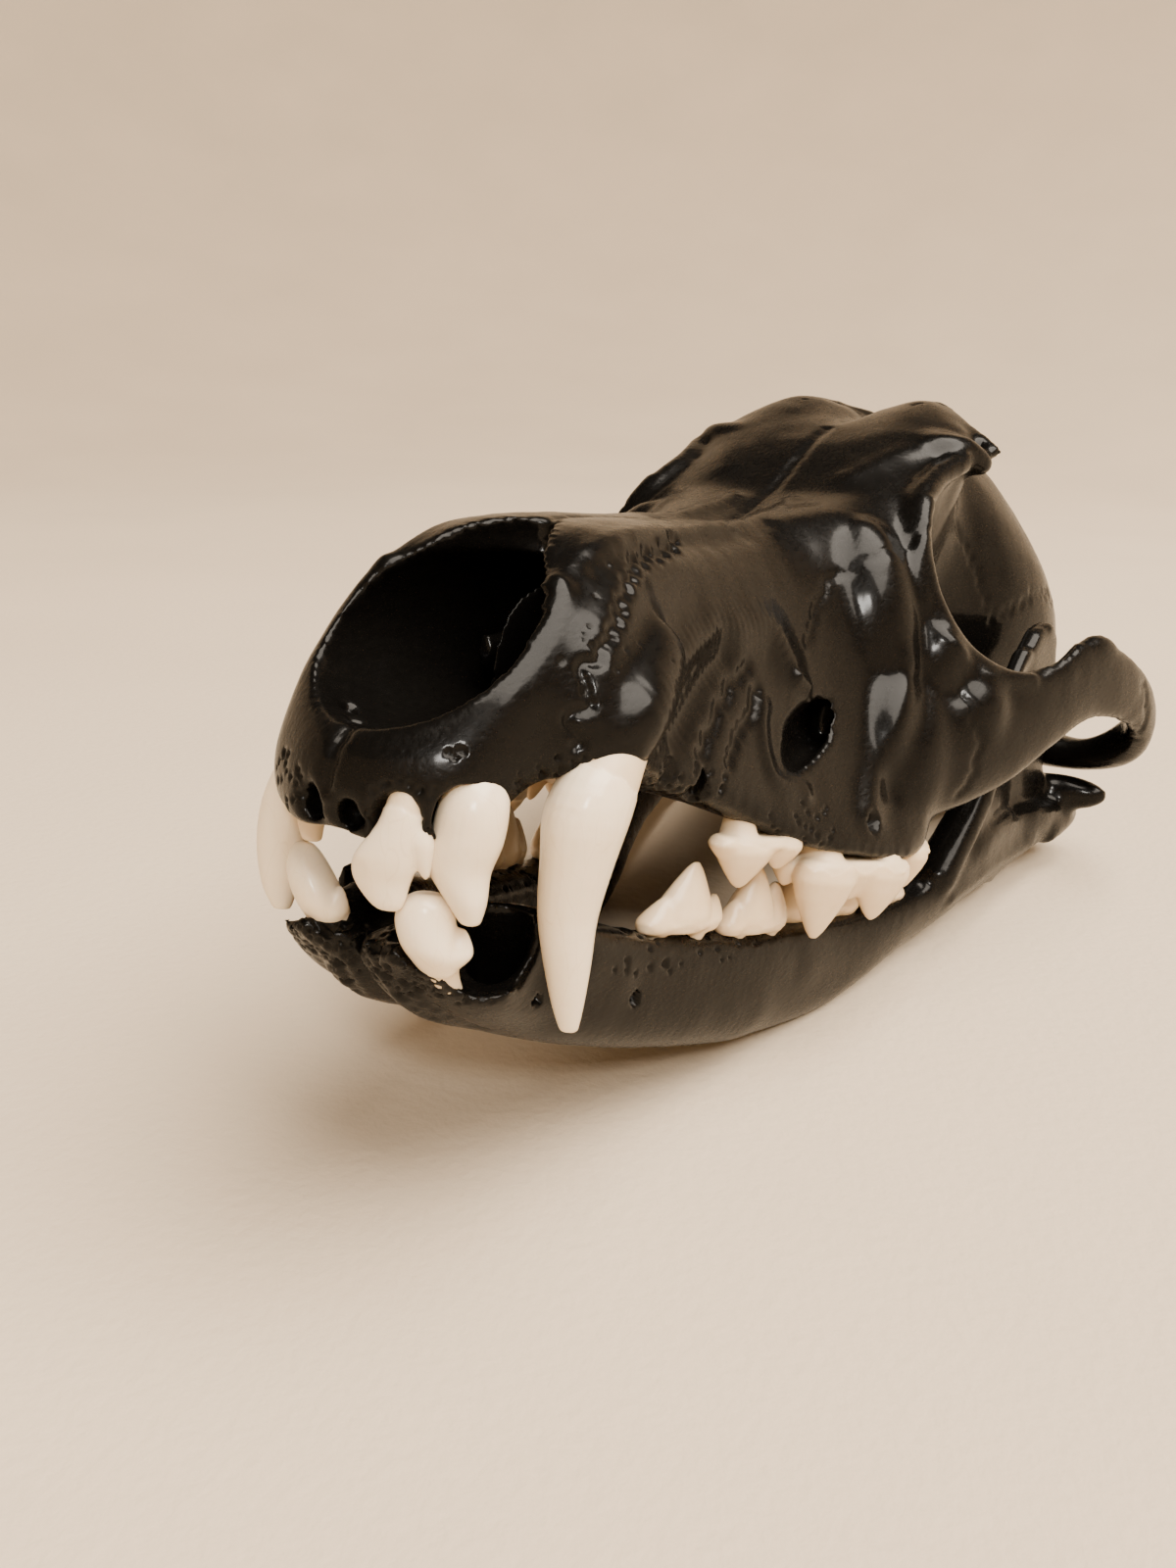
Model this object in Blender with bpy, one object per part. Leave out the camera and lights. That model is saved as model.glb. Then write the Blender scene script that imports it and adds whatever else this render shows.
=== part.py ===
"""A coyote skull with its lower jaw closed, at life size: dipped black bone with the natural teeth set in it.

Anatomy is written in millimetres in the skull's own frame: X to the animal's left, Y from the front of the
premaxilla towards the back, Z up from the line of the cheek teeth's sockets. The whole skull is then pitched
nose up onto its lower jaw and placed with its foot at the origin.
"""

import math

import bmesh
import bpy
import numpy as np
from mathutils import Euler, Matrix, Vector

MM = 0.001

# Driving dimensions, in millimetres and degrees
NOSE_UP = 14.05
GAP = 0.3
BONE_VOXEL = 0.8
TOOTH_VOXEL = 0.34
RING_POINTS = 40

# Thin cuts that part the cranium: behind the palate, and beside each cheek arch
PALATE_CUT_Y = 97.0
ARCH_CUT_Y = 89.0
ARCH_CUT_X = 28.4
ARCH_CUT_SLOPE = 0.05

# Depth of the small flats that the skull rests on
REST_FLAT = 0.35

# Triangles that each bone keeps before its teeth are joined
CRANIUM_TRIANGLES = 6200
JAW_TRIANGLES = 1500
THINNING_TRIES = (1.0, 1.03, 1.06, 1.1, 1.15, 1.2)

# Volume, in cubic millimetres, that a cut may be out by
SLACK = 5.0

BONE_BLACK = (0.012, 0.011, 0.010, 1.0)


def clear_scene():
    for obj in list(bpy.data.objects):
        bpy.data.objects.remove(obj, do_unlink=True)


def material(name, colour, roughness, metallic=0.0):
    made = bpy.data.materials.new(name)
    made.use_nodes = True
    shader = made.node_tree.nodes["Principled BSDF"]
    shader.inputs["Base Color"].default_value = colour
    shader.inputs["Roughness"].default_value = roughness
    shader.inputs["Metallic"].default_value = metallic
    made.diffuse_color = colour
    return made


# Mesh helpers


def new_object(name, mesh):
    obj = bpy.data.objects.new(name, mesh)
    bpy.context.scene.collection.objects.link(obj)
    return obj


def object_from_rings(name, rings):
    """A closed body through rings of equally many points, with a fan on each end."""
    bm = bmesh.new()
    loops = [[bm.verts.new(Vector(p) * MM) for p in ring] for ring in rings]
    count = len(loops[0])
    for near, far in zip(loops, loops[1:]):
        for i in range(count):
            j = (i + 1) % count
            bm.faces.new((near[i], near[j], far[j], far[i]))
    for loop, flip in ((loops[0], True), (loops[-1], False)):
        middle = bm.verts.new(sum((v.co for v in loop), Vector()) / count)
        for i in range(count):
            a, b = loop[i], loop[(i + 1) % count]
            bm.faces.new((b, a, middle) if flip else (a, b, middle))
    bmesh.ops.recalc_face_normals(bm, faces=bm.faces)
    mesh = bpy.data.meshes.new(name)
    bm.to_mesh(mesh)
    bm.free()
    return new_object(name, mesh)


def smooth_rows(rows, steps):
    """Catmull-Rom rows between the given rows: each row is a list of numbers."""
    rows = [np.array(r, float) for r in rows]
    padded = [2 * rows[0] - rows[1], *rows, 2 * rows[-1] - rows[-2]]
    out = []
    for i in range(1, len(padded) - 2):
        a, b, c, d = padded[i - 1 : i + 3]
        for k in range(steps):
            t = k / steps
            out.append(
                0.5 * (2 * b + (c - a) * t + (2 * a - 5 * b + 4 * c - d) * t**2 + (3 * b - a - 3 * c + d) * t**3)
            )
    out.append(rows[-1])
    return out


def tube(name, stops, steps=5, around=16):
    """A swept body. Each stop is (x, y, z, across, upright): the two radii stand square to the path, the second
    as near to vertical as the path allows."""
    rows = smooth_rows(stops, steps)
    points = [Vector(r[:3]) for r in rows]
    rings = []
    for i, row in enumerate(rows):
        along = (points[min(i + 1, len(points) - 1)] - points[max(i - 1, 0)]).normalized()
        side = along.cross(Vector((0, 0, 1)))
        side = side.normalized() if side.length > 0.05 else Vector((1, 0, 0))
        upright = side.cross(along).normalized()
        across, tall = max(row[3], 0.15), max(row[4], 0.15)
        rings.append(
            [
                points[i] + side * (across * math.cos(2 * math.pi * k / around))
                + upright * (tall * math.sin(2 * math.pi * k / around))
                for k in range(around)
            ]
        )
    return object_from_rings(name, rings)


def ball(name, centre, radii, turn=(0, 0, 0)):
    bm = bmesh.new()
    bmesh.ops.create_icosphere(bm, subdivisions=4, radius=1.0)
    place = (
        Matrix.Translation(Vector(centre) * MM)
        @ Euler([math.radians(a) for a in turn]).to_matrix().to_4x4()
        @ Matrix.Diagonal((*(r * MM for r in radii), 1.0))
    )
    bmesh.ops.transform(bm, matrix=place, verts=bm.verts)
    mesh = bpy.data.meshes.new(name)
    bm.to_mesh(mesh)
    bm.free()
    return new_object(name, mesh)


def plate(name, outline, x_of_y, thickness):
    """An upright plate from an outline of (y, z) points, standing at x = x_of_y(y)."""
    rings = []
    for side in (-0.5, 0.5):
        rings.append([(x_of_y(y) + side * thickness, y, z) for y, z in outline])
    return object_from_rings(name, rings)


def block(name, low, high):
    bm = bmesh.new()
    bmesh.ops.create_cube(bm, size=1.0)
    low, high = Vector(low) * MM, Vector(high) * MM
    size = high - low
    place = Matrix.Translation((low + high) / 2) @ Matrix.Diagonal((*size, 1.0))
    bmesh.ops.transform(bm, matrix=place, verts=bm.verts)
    mesh = bpy.data.meshes.new(name)
    bm.to_mesh(mesh)
    bm.free()
    return new_object(name, mesh)


def mirrored(obj):
    """A copy on the animal's other side."""
    bm = bmesh.new()
    bm.from_mesh(obj.data)
    bmesh.ops.transform(bm, matrix=Matrix.Diagonal((-1, 1, 1, 1)), verts=bm.verts)
    bmesh.ops.reverse_faces(bm, faces=bm.faces)
    mesh = bpy.data.meshes.new(obj.name + "_mirrored")
    bm.to_mesh(mesh)
    bm.free()
    return new_object(mesh.name, mesh)


def both_sides(obj):
    return [obj, mirrored(obj)]


def apply_modifiers(obj):
    bpy.context.view_layer.update()
    graph = bpy.context.evaluated_depsgraph_get()
    mesh = bpy.data.meshes.new_from_object(obj.evaluated_get(graph))
    obj.modifiers.clear()
    obj.data = mesh
    return obj


def fuse(name, pieces, voxel, rounds=4):
    """One closed skin over overlapping closed pieces, with their joints blended by smoothing."""
    bm = bmesh.new()
    for piece in pieces:
        bm.from_mesh(piece.data)
        bpy.data.objects.remove(piece)
    mesh = bpy.data.meshes.new(name)
    bm.to_mesh(mesh)
    bm.free()
    obj = new_object(name, mesh)
    skin = obj.modifiers.new("skin", "REMESH")
    skin.mode = "VOXEL"
    skin.voxel_size = voxel * MM
    blend = obj.modifiers.new("blend", "SMOOTH")
    blend.factor = 0.5
    blend.iterations = rounds
    return apply_modifiers(obj)


def measure(obj):
    """(volume in cubic millimetres, whether every edge joins two faces)"""
    bm = bmesh.new()
    bm.from_mesh(obj.data)
    volume = bm.calc_volume() / MM**3
    closed = all(edge.is_manifold for edge in bm.edges)
    bm.free()
    return volume, closed


def carve(obj, cutters, operation="DIFFERENCE"):
    """Cuts the body by the closed cutters, one by one, and removes them."""
    for cutter in cutters:
        before, whole = measure(obj)[0], obj.data
        most = measure(cutter)[0]
        for solver in ("MANIFOLD", "EXACT"):
            cut = obj.modifiers.new("cut", "BOOLEAN")
            cut.operation = operation
            cut.solver = solver
            cut.object = cutter
            apply_modifiers(obj)
            after, closed = measure(obj)
            if closed and -SLACK < before - after < most + SLACK:
                break
            obj.data = whole
        else:
            raise RuntimeError(f"{obj.name} could not be cut by {cutter.name}")
        bpy.data.objects.remove(cutter)
    return obj


def press(obj, centre, reach, push):
    """Moves the skin near the centre by push, fading to nothing at the reach (both in millimetres)."""
    mesh = obj.data
    flat = np.empty(len(mesh.vertices) * 3)
    mesh.vertices.foreach_get("co", flat)
    points = flat.reshape(-1, 3) / MM
    far = np.linalg.norm((points - np.array(centre)) / np.array(reach), axis=1)
    share = np.clip(1.0 - far, 0.0, 1.0)
    share = share * share * (3.0 - 2.0 * share)
    points += share[:, None] * np.array(push)
    mesh.vertices.foreach_set("co", (points * MM).ravel())
    mesh.update()
    return obj


def thin_out(obj, triangles):
    """Fewer triangles, spent where the surface bends: a few more are kept if the skin would otherwise open."""
    dense = obj.data
    dense.calc_loop_triangles()
    full = len(dense.loop_triangles)
    for extra in THINNING_TRIES:
        fewer = obj.modifiers.new("fewer", "DECIMATE")
        fewer.ratio = min(1.0, triangles * extra / full)
        fewer.use_collapse_triangulate = True
        apply_modifiers(obj)
        if measure(obj)[1]:
            return obj
        obj.data = dense
    raise RuntimeError(f"{obj.name} could not be thinned out")


def largest_shell(obj):
    """Keeps the largest closed surface and drops loose scraps."""
    bm = bmesh.new()
    bm.from_mesh(obj.data)
    left, shells = set(bm.verts), []
    while left:
        stack, shell = [left.pop()], []
        while stack:
            vert = stack.pop()
            shell.append(vert)
            for edge in vert.link_edges:
                other = edge.other_vert(vert)
                if other in left:
                    left.remove(other)
                    stack.append(other)
        shells.append(shell)
    shells.sort(key=len)
    bmesh.ops.delete(bm, geom=[v for shell in shells[:-1] for v in shell], context="VERTS")
    bm.to_mesh(obj.data)
    bm.free()
    return obj


# Cranium: one row for each cross-section, (y, palate z, socket-line x and z, flank x and z, brow x and z, roof z)
CRANIUM_ROWS = (
    (-0.8, 0.6, 1.2, 0.6, 2.0, 2.2, 1.2, 4.2, 4.4),
    (0.6, -0.8, 4.4, -0.8, 5.8, 2.6, 4.0, 6.0, 6.2),
    (3.4, 0.0, 8.4, -0.4, 10.4, 4.0, 7.2, 8.6, 8.2),
    (7.0, 1.6, 10.8, 1.2, 12.4, 6.4, 9.8, 12.6, 11.4),
    (11.5, 2.6, 12.6, 3.8, 14.2, 8.6, 11.2, 17.0, 17.2),
    (16.0, 3.2, 16.0, 5.0, 17.8, 10.0, 10.8, 21.4, 23.0),
    (22.0, 3.2, 16.2, 4.2, 17.4, 11.0, 10.6, 25.0, 26.8),
    (30.0, 3.2, 15.8, 3.0, 15.4, 12.0, 10.2, 26.8, 28.8),
    (42.0, 3.2, 18.0, 1.0, 17.0, 10.0, 9.6, 28.4, 30.6),
    (54.0, 3.4, 22.6, -2.2, 20.4, 6.0, 10.2, 30.0, 32.0),
    (66.0, 3.6, 27.4, -3.6, 24.4, 4.0, 11.6, 31.4, 33.4),
    (76.0, 3.6, 29.8, -4.6, 27.4, 6.0, 14.6, 34.8, 36.2),
    (84.0, 3.4, 28.4, -4.6, 27.0, 13.0, 18.8, 37.4, 40.0),
    (90.0, 3.2, 25.0, -3.6, 22.0, 16.0, 19.6, 40.8, 44.4),
    (97.0, 4.2, 15.5, -1.0, 14.0, 22.0, 18.8, 45.6, 49.6),
    (104.0, 6.0, 10.5, 2.0, 12.4, 24.0, 19.4, 50.4, 53.6),
    (112.0, 8.2, 9.0, 4.5, 13.6, 26.0, 20.0, 54.4, 57.0),
    (119.0, 8.6, 9.0, 5.6, 15.6, 28.0, 16.0, 56.4, 59.4),
    (126.0, 7.6, 10.4, 6.2, 19.6, 29.0, 12.4, 56.2, 60.2),
    (136.0, 6.0, 14.0, 6.8, 26.4, 30.0, 14.6, 54.8, 60.4),
    (147.0, 5.4, 17.4, 7.0, 30.0, 29.5, 16.4, 53.6, 60.2),
    (158.0, 5.0, 19.0, 6.6, 30.2, 28.0, 16.2, 51.8, 59.2),
    (169.0, 4.4, 19.0, 6.0, 27.6, 25.0, 15.6, 47.6, 56.0),
    (178.0, 5.0, 16.6, 7.0, 22.6, 22.0, 13.6, 43.0, 53.0),
    (185.0, 8.0, 11.0, 10.0, 14.0, 20.0, 9.6, 36.0, 47.0),
    (188.5, 12.0, 6.0, 14.0, 8.0, 20.0, 5.0, 32.0, 40.0),
)


def cranium_rings():
    rows = smooth_rows(CRANIUM_ROWS, 5)
    rings = []
    for y, palate, socket_x, socket_z, flank_x, flank_z, brow_x, brow_z, roof in rows:
        half = [(socket_x, socket_z), (flank_x, flank_z), (brow_x, brow_z)]
        corners = [(0.0, palate), *half, (0.0, roof), *[(-x, z) for x, z in reversed(half)]]
        loop = corners[-1:] + corners + corners[:2]
        ring = []
        per = RING_POINTS // len(corners)
        for i in range(1, len(corners) + 1):
            a, b, c, d = (np.array(p) for p in loop[i - 1 : i + 3])
            for k in range(per):
                t = k / per
                p = 0.5 * (
                    2 * b + (c - a) * t + (2 * a - 5 * b + 4 * c - d) * t**2 + (3 * b - a - 3 * c + d) * t**3
                )
                ring.append((p[0], y, p[1]))
        rings.append(ring)
    return rings


# Paths on the animal's left side: (x, y, z, radius across, radius upright)
ORBIT_RIM = (
    (41.0, 104.0, 21.0, 1.8, 1.8),
    (36.5, 95.5, 18.4, 2.0, 2.0),
    (30.6, 88.6, 20.4, 2.4, 2.2),
    (25.6, 85.0, 26.0, 2.6, 2.4),
    (22.4, 84.6, 33.0, 2.4, 2.4),
    (20.4, 88.5, 40.0, 2.2, 2.2),
    (19.8, 96.0, 45.4, 2.0, 2.0),
    (21.6, 104.0, 49.6, 1.8, 1.8),
)
BROW_HORN = ((14.0, 105.0, 51.0, 6.5, 3.6), (20.0, 108.5, 52.2, 5.0, 2.4), (26.0, 111.5, 51.4, 2.0, 1.2))
TEMPORAL_LINE = (
    (24.0, 112.0, 52.2, 1.4, 1.2),
    (17.0, 117.0, 56.8, 1.3, 1.3),
    (9.0, 123.5, 60.0, 1.3, 1.3),
    (2.0, 132.0, 61.2, 1.2, 1.4),
)
CREST = (
    (0.0, 126.0, 58.6, 1.2, 2.4),
    (0.0, 145.0, 60.0, 1.1, 3.6),
    (0.0, 165.0, 58.8, 1.1, 4.8),
    (0.0, 182.0, 56.0, 1.2, 5.6),
    (0.0, 192.5, 54.6, 1.6, 3.8),
)
NAPE_CREST = (
    (0.0, 189.0, 52.0, 2.6, 5.4),
    (8.0, 185.5, 49.0, 2.4, 6.4),
    (15.5, 180.0, 42.0, 2.4, 6.4),
    (22.5, 173.5, 32.0, 2.6, 5.8),
    (27.0, 167.5, 20.0, 3.0, 4.6),
    (28.0, 163.0, 12.0, 2.6, 3.0),
)
CHEEK_ARCH = (
    (24.0, 80.0, 5.0, 6.0, 8.0),
    (29.5, 86.0, 8.0, 4.8, 8.4),
    (35.0, 93.5, 11.4, 3.2, 7.6),
    (39.2, 101.0, 15.8, 2.4, 6.6),
    (42.8, 110.0, 20.6, 2.1, 6.4),
    (46.2, 119.5, 20.4, 2.0, 5.2),
    (48.6, 129.0, 18.4, 2.0, 4.4),
    (48.8, 137.0, 14.8, 2.4, 4.0),
    (45.8, 143.5, 10.8, 3.4, 3.4),
    (40.0, 148.0, 8.2, 4.6, 2.8),
    (32.0, 150.5, 8.4, 5.6, 3.4),
    (24.0, 151.0, 11.0, 6.0, 5.0),
)
CANINE_SWELL = ((15.4, 17.5, 7.0, 4.2, 4.4), (15.0, 22.0, 12.0, 4.0, 4.2), (13.0, 29.0, 17.5, 3.2, 3.4))
NOSE_RIM = (
    (0.0, 5.4, 6.6, 1.6, 1.5),
    (5.4, 6.4, 8.2, 1.6, 1.6),
    (9.6, 9.0, 11.6, 1.6, 1.6),
    (11.0, 12.4, 16.0, 1.6, 1.6),
    (9.8, 16.0, 21.6, 1.5, 1.5),
)
PALATE_WING = (
    (8.6, 99.0, 2.6, 1.5, 4.0),
    (8.6, 110.0, 2.6, 1.4, 4.6),
    (8.4, 122.0, 2.2, 1.4, 4.6),
    (8.0, 129.0, -1.6, 1.2, 1.8),
)
NECK_PROCESS = ((22.5, 168.5, 10.0, 4.0, 4.0), (22.0, 171.0, 2.0, 2.8, 3.2), (21.0, 173.0, -5.4, 1.8, 2.0))


def cranium_solid():
    pieces = [object_from_rings("core", cranium_rings())]
    for name, path in (
        ("orbit_rim", ORBIT_RIM),
        ("brow_horn", BROW_HORN),
        ("temporal_line", TEMPORAL_LINE),
        ("nape_crest", NAPE_CREST),
        ("cheek_arch", CHEEK_ARCH),
        ("canine_swell", CANINE_SWELL),
        ("nose_rim", NOSE_RIM),
        ("palate_wing", PALATE_WING),
        ("neck_process", NECK_PROCESS),
    ):
        pieces += both_sides(tube(name, path))
    pieces.append(tube("crest", CREST))
    for name, centre, radii, turn in (
        ("cheek", (24.6, 81.0, 8.0), (7.0, 10.5, 11.5), (0, -12, -24)),
        ("tear_bone", (18.6, 80.5, 24.0), (6.4, 7.4, 14.0), (0, -16, 0)),
        ("eye_corner", (30.6, 90.0, 13.5), (6.0, 6.5, 7.0), (0, 0, -40)),
        ("ear_capsule", (14.6, 160.0, 3.4), (8.6, 12.5, 9.0), (0, 0, -14)),
        ("neck_condyle", (8.8, 184.5, 10.5), (5.0, 5.0, 7.0), (0, 18, 24)),
        ("jugal_horn", (43.6, 112.0, 26.0), (1.8, 4.0, 2.6), (0, 0, -20)),
        ("ear_shelf", (26.0, 156.5, 10.5), (5.4, 8.0, 4.0), (0, 0, 0)),
        ("nape", (14.0, 176.0, 26.0), (14.0, 9.0, 18.0), (0, 0, -14)),
    ):
        pieces += both_sides(ball(name, centre, radii, turn))
    skull = fuse("cranium", pieces, BONE_VOXEL, 10)
    for side in (1, -1):
        press(skull, (side * 10.5, 118.0, 59.0), (9.0, 17.0, 12.0), (0, 0, 1.6))
        press(skull, (side * 9.0, 56.0, 31.0), (7.0, 30.0, 9.0), (side * -0.8, 0, -0.6))
        press(skull, (side * 27.0, 96.0, 6.0), (10.0, 14.0, 12.0), (side * -1.5, 1.0, 0))
    press(skull, (0.0, 121.0, 60.0), (4.0, 24.0, 10.0), (0, 0, -2.0))
    press(skull, (0.0, 68.0, 34.0), (5.0, 26.0, 8.0), (0, 0, -0.9))
    cutters = [
        tube("nose_mouth", NOSE_HOLE, around=28),
        ball("nose_top", (0.0, 15.0, 20.0), (8.2, 9.4, 8.4), (-34, 0, 0)),
        tube("nape_hole", NAPE_HOLE, around=24),
    ]
    for side in (1, -1):
        cutters.append(ball("eye_socket", (side * 30.4, 100.5, 33.2), (14.0, 15.4, 14.6)))
        for name, path in (("cheek_hole", CHEEK_HOLE), ("ear_hole", EAR_HOLE)):
            cutters.append(tube(name, [(side * x, y, z, across, tall) for x, y, z, across, tall in path]))
    return carve(skull, cutters)


# Holes: paths with their radii
NOSE_HOLE = (
    (0.0, -2.0, 14.6, 7.4, 6.4),
    (0.0, 9.0, 15.6, 9.0, 8.0),
    (0.0, 18.0, 16.4, 9.2, 9.0),
    (0.0, 36.0, 15.8, 7.6, 8.0),
    (0.0, 58.0, 15.0, 4.0, 5.0),
)
NAPE_HOLE = ((0.0, 198.0, 16.0, 7.4, 6.4), (0.0, 182.0, 17.0, 7.4, 6.4), (0.0, 170.0, 20.0, 5.0, 5.0))
CHEEK_HOLE = ((23.0, 49.5, 8.6, 2.4, 4.4), (20.0, 58.0, 9.2, 2.4, 4.2), (18.5, 70.0, 11.0, 1.8, 3.0))
EAR_HOLE = ((34.0, 162.0, 8.4, 3.4, 3.4), (23.0, 161.0, 7.4, 3.2, 3.2), (19.0, 160.0, 7.4, 1.6, 1.6))


# Lower jaw, left half: (y, x at the rim, x at the foot, rim z, foot z, half thickness)
JAW_ROWS = (
    (3.4, 4.4, 4.2, -11.4, -12.8, 2.8),
    (6.0, 5.6, 4.8, -11.4, -14.6, 4.5),
    (9.0, 6.8, 5.2, -11.2, -17.2, 5.8),
    (13.0, 8.2, 5.4, -10.6, -20.0, 6.4),
    (20.0, 9.6, 5.8, -10.8, -23.0, 5.6),
    (30.0, 11.4, 8.8, -12.6, -25.6, 4.6),
    (40.0, 13.4, 11.4, -13.8, -27.6, 4.3),
    (50.0, 15.6, 13.4, -14.6, -29.2, 4.4),
    (60.0, 17.8, 15.2, -15.2, -30.2, 4.6),
    (75.0, 20.4, 17.8, -15.2, -29.8, 4.8),
    (85.0, 23.0, 20.2, -14.6, -27.0, 4.8),
    (95.0, 26.0, 22.6, -12.6, -23.2, 4.4),
    (105.0, 29.2, 25.8, -8.0, -19.8, 3.9),
    (115.0, 31.6, 28.6, -4.0, -16.2, 3.4),
    (125.0, 33.4, 30.8, -2.0, -13.6, 3.0),
    (140.0, 36.2, 34.4, -0.6, -8.6, 2.6),
    (150.0, 37.8, 37.2, -1.0, -5.0, 2.0),
    (156.5, 38.2, 38.2, -1.2, -2.8, 1.2),
)
CORONOID = (
    (99.0, -14.0),
    (105.0, -5.0),
    (110.0, 5.0),
    (115.0, 15.0),
    (120.0, 22.0),
    (126.0, 27.6),
    (131.5, 29.6),
    (136.0, 27.6),
    (138.0, 22.0),
    (139.0, 14.0),
    (142.0, 6.0),
    (148.0, 2.0),
    (147.0, -5.0),
    (139.0, -9.0),
    (125.0, -14.0),
)


def coronoid_x(y):
    """The plate leans outward towards the back."""
    return 29.4 + (y - 104.0) * 0.1


def jaw_half(side):
    rings = []
    for y, rim_x, foot_x, rim, foot, half in smooth_rows(JAW_ROWS, 5):
        ring = []
        for k in range(24):
            across, up = math.cos(2 * math.pi * k / 24), math.sin(2 * math.pi * k / 24)
            across = math.copysign(abs(across) ** 0.7, across)
            up = math.copysign(abs(up) ** 0.8, up)
            share = (up + 1) / 2
            ring.append((foot_x + (rim_x - foot_x) * share + half * across, y, foot + (rim - foot) * share))
        rings.append(ring)
    pieces = [object_from_rings("jaw_body", rings), plate("coronoid", CORONOID, coronoid_x, 3.2)]
    for name, path in (("symphysis", SYMPHYSIS), ("condyle", JAW_CONDYLE), ("front_edge", FRONT_EDGE), ("angle", ANGLE)):
        pieces.append(tube(name, path))
    if side < 0:
        pieces = [swap(p) for p in pieces]
    jaw = fuse("jaw", pieces, BONE_VOXEL)
    return press(jaw, (side * 36.0, 124.0, 4.0), (8.0, 18.0, 20.0), (side * -1.2, 0, 0))


SYMPHYSIS = (
    (2.6, 5.5, -12.8, 2.8, 2.0),
    (3.6, 12.0, -16.0, 4.0, 4.2),
    (4.2, 22.0, -19.8, 4.6, 3.8),
    (5.4, 32.0, -23.2, 3.6, 2.0),
)
JAW_CONDYLE = ((30.0, 147.0, 1.0, 2.6, 2.6), (37.0, 147.6, 1.2, 3.4, 3.2), (45.0, 147.6, 1.6, 3.0, 2.6))
FRONT_EDGE = (
    (28.4, 100.0, -12.0, 3.6, 3.0),
    (31.0, 108.5, 2.0, 2.8, 2.8),
    (31.2, 115.5, 15.0, 2.2, 2.2),
    (31.4, 122.5, 24.0, 1.8, 1.8),
)
ANGLE = ((36.6, 142.0, -5.4, 2.4, 3.0), (38.2, 150.0, -3.4, 2.2, 2.4), (38.8, 157.5, -1.6, 1.4, 1.4))


def middle_block(side):
    """What lies past the middle line, seen from the jaw on that side."""
    low, high = (-30.0, GAP / 2) if side > 0 else (-GAP / 2, 30.0)
    return block("middle", (low, -10.0, -60.0), (high, 60.0, 20.0))


def swap(obj):
    """The mirrored copy in place of the original."""
    other = mirrored(obj)
    bpy.data.objects.remove(obj)
    return other


# Teeth


def cusp(base, tip, across, along, tip_share=0.22, bulge=1.0):
    """A blunt cone from the gum to a rounded tip, wider along the jaw than across it."""
    base, tip = Vector(base), Vector(tip)
    rows = []
    for share in (-0.25, 0.0, 0.25, 0.5, 0.75, 0.92, 1.0):
        point = base.lerp(tip, share)
        size = 1.0 - (1.0 - tip_share) * max(share, 0.0) ** 1.2
        if share == 1.0:
            size = tip_share * 0.5
        swell = 1.0 + 0.12 * bulge * math.sin(math.pi * min(max(share + 0.25, 0), 1))
        rows.append((point, across * size * swell, along * size * swell))
    return rows


def stack(name, rows, heading, around=14):
    """A body through ovals: each row is (centre, half width across the jaw, half length along it)."""
    rings = []
    turn = Matrix.Rotation(math.radians(heading), 3, "Z")
    for centre, across, along in rows:
        ring = []
        for k in range(around):
            a = 2 * math.pi * k / around
            ring.append(Vector(centre) + turn @ Vector((across * math.cos(a), along * math.sin(a), 0)))
        rings.append(ring)
    return object_from_rings(name, rings)


def tooth(name, parts, triangles):
    """Fuses a tooth's crown cusps and roots. parts is a list of (rows, heading)."""
    pieces = [stack(f"{name}_{i}", rows, heading) for i, (rows, heading) in enumerate(parts)]
    return thin_out(largest_shell(fuse(name, pieces, TOOTH_VOXEL, 2)), triangles)


def root(top, end, across, along):
    """A tapered root, sunk in the bone."""
    top, end = Vector(top), Vector(end)
    return [(top.lerp(end, t), across * (1 - 0.45 * t), along * (1 - 0.45 * t)) for t in (0.0, 0.35, 0.7, 1.0)]


def curved(stops, side, heading):
    """A tooth's crown and root along stops of (x, y, z, half width, half length)."""
    rows = [(Vector((side * r[0], r[1], r[2])), r[3], r[4]) for r in smooth_rows(stops, 3)]
    return rows, side * heading


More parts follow.
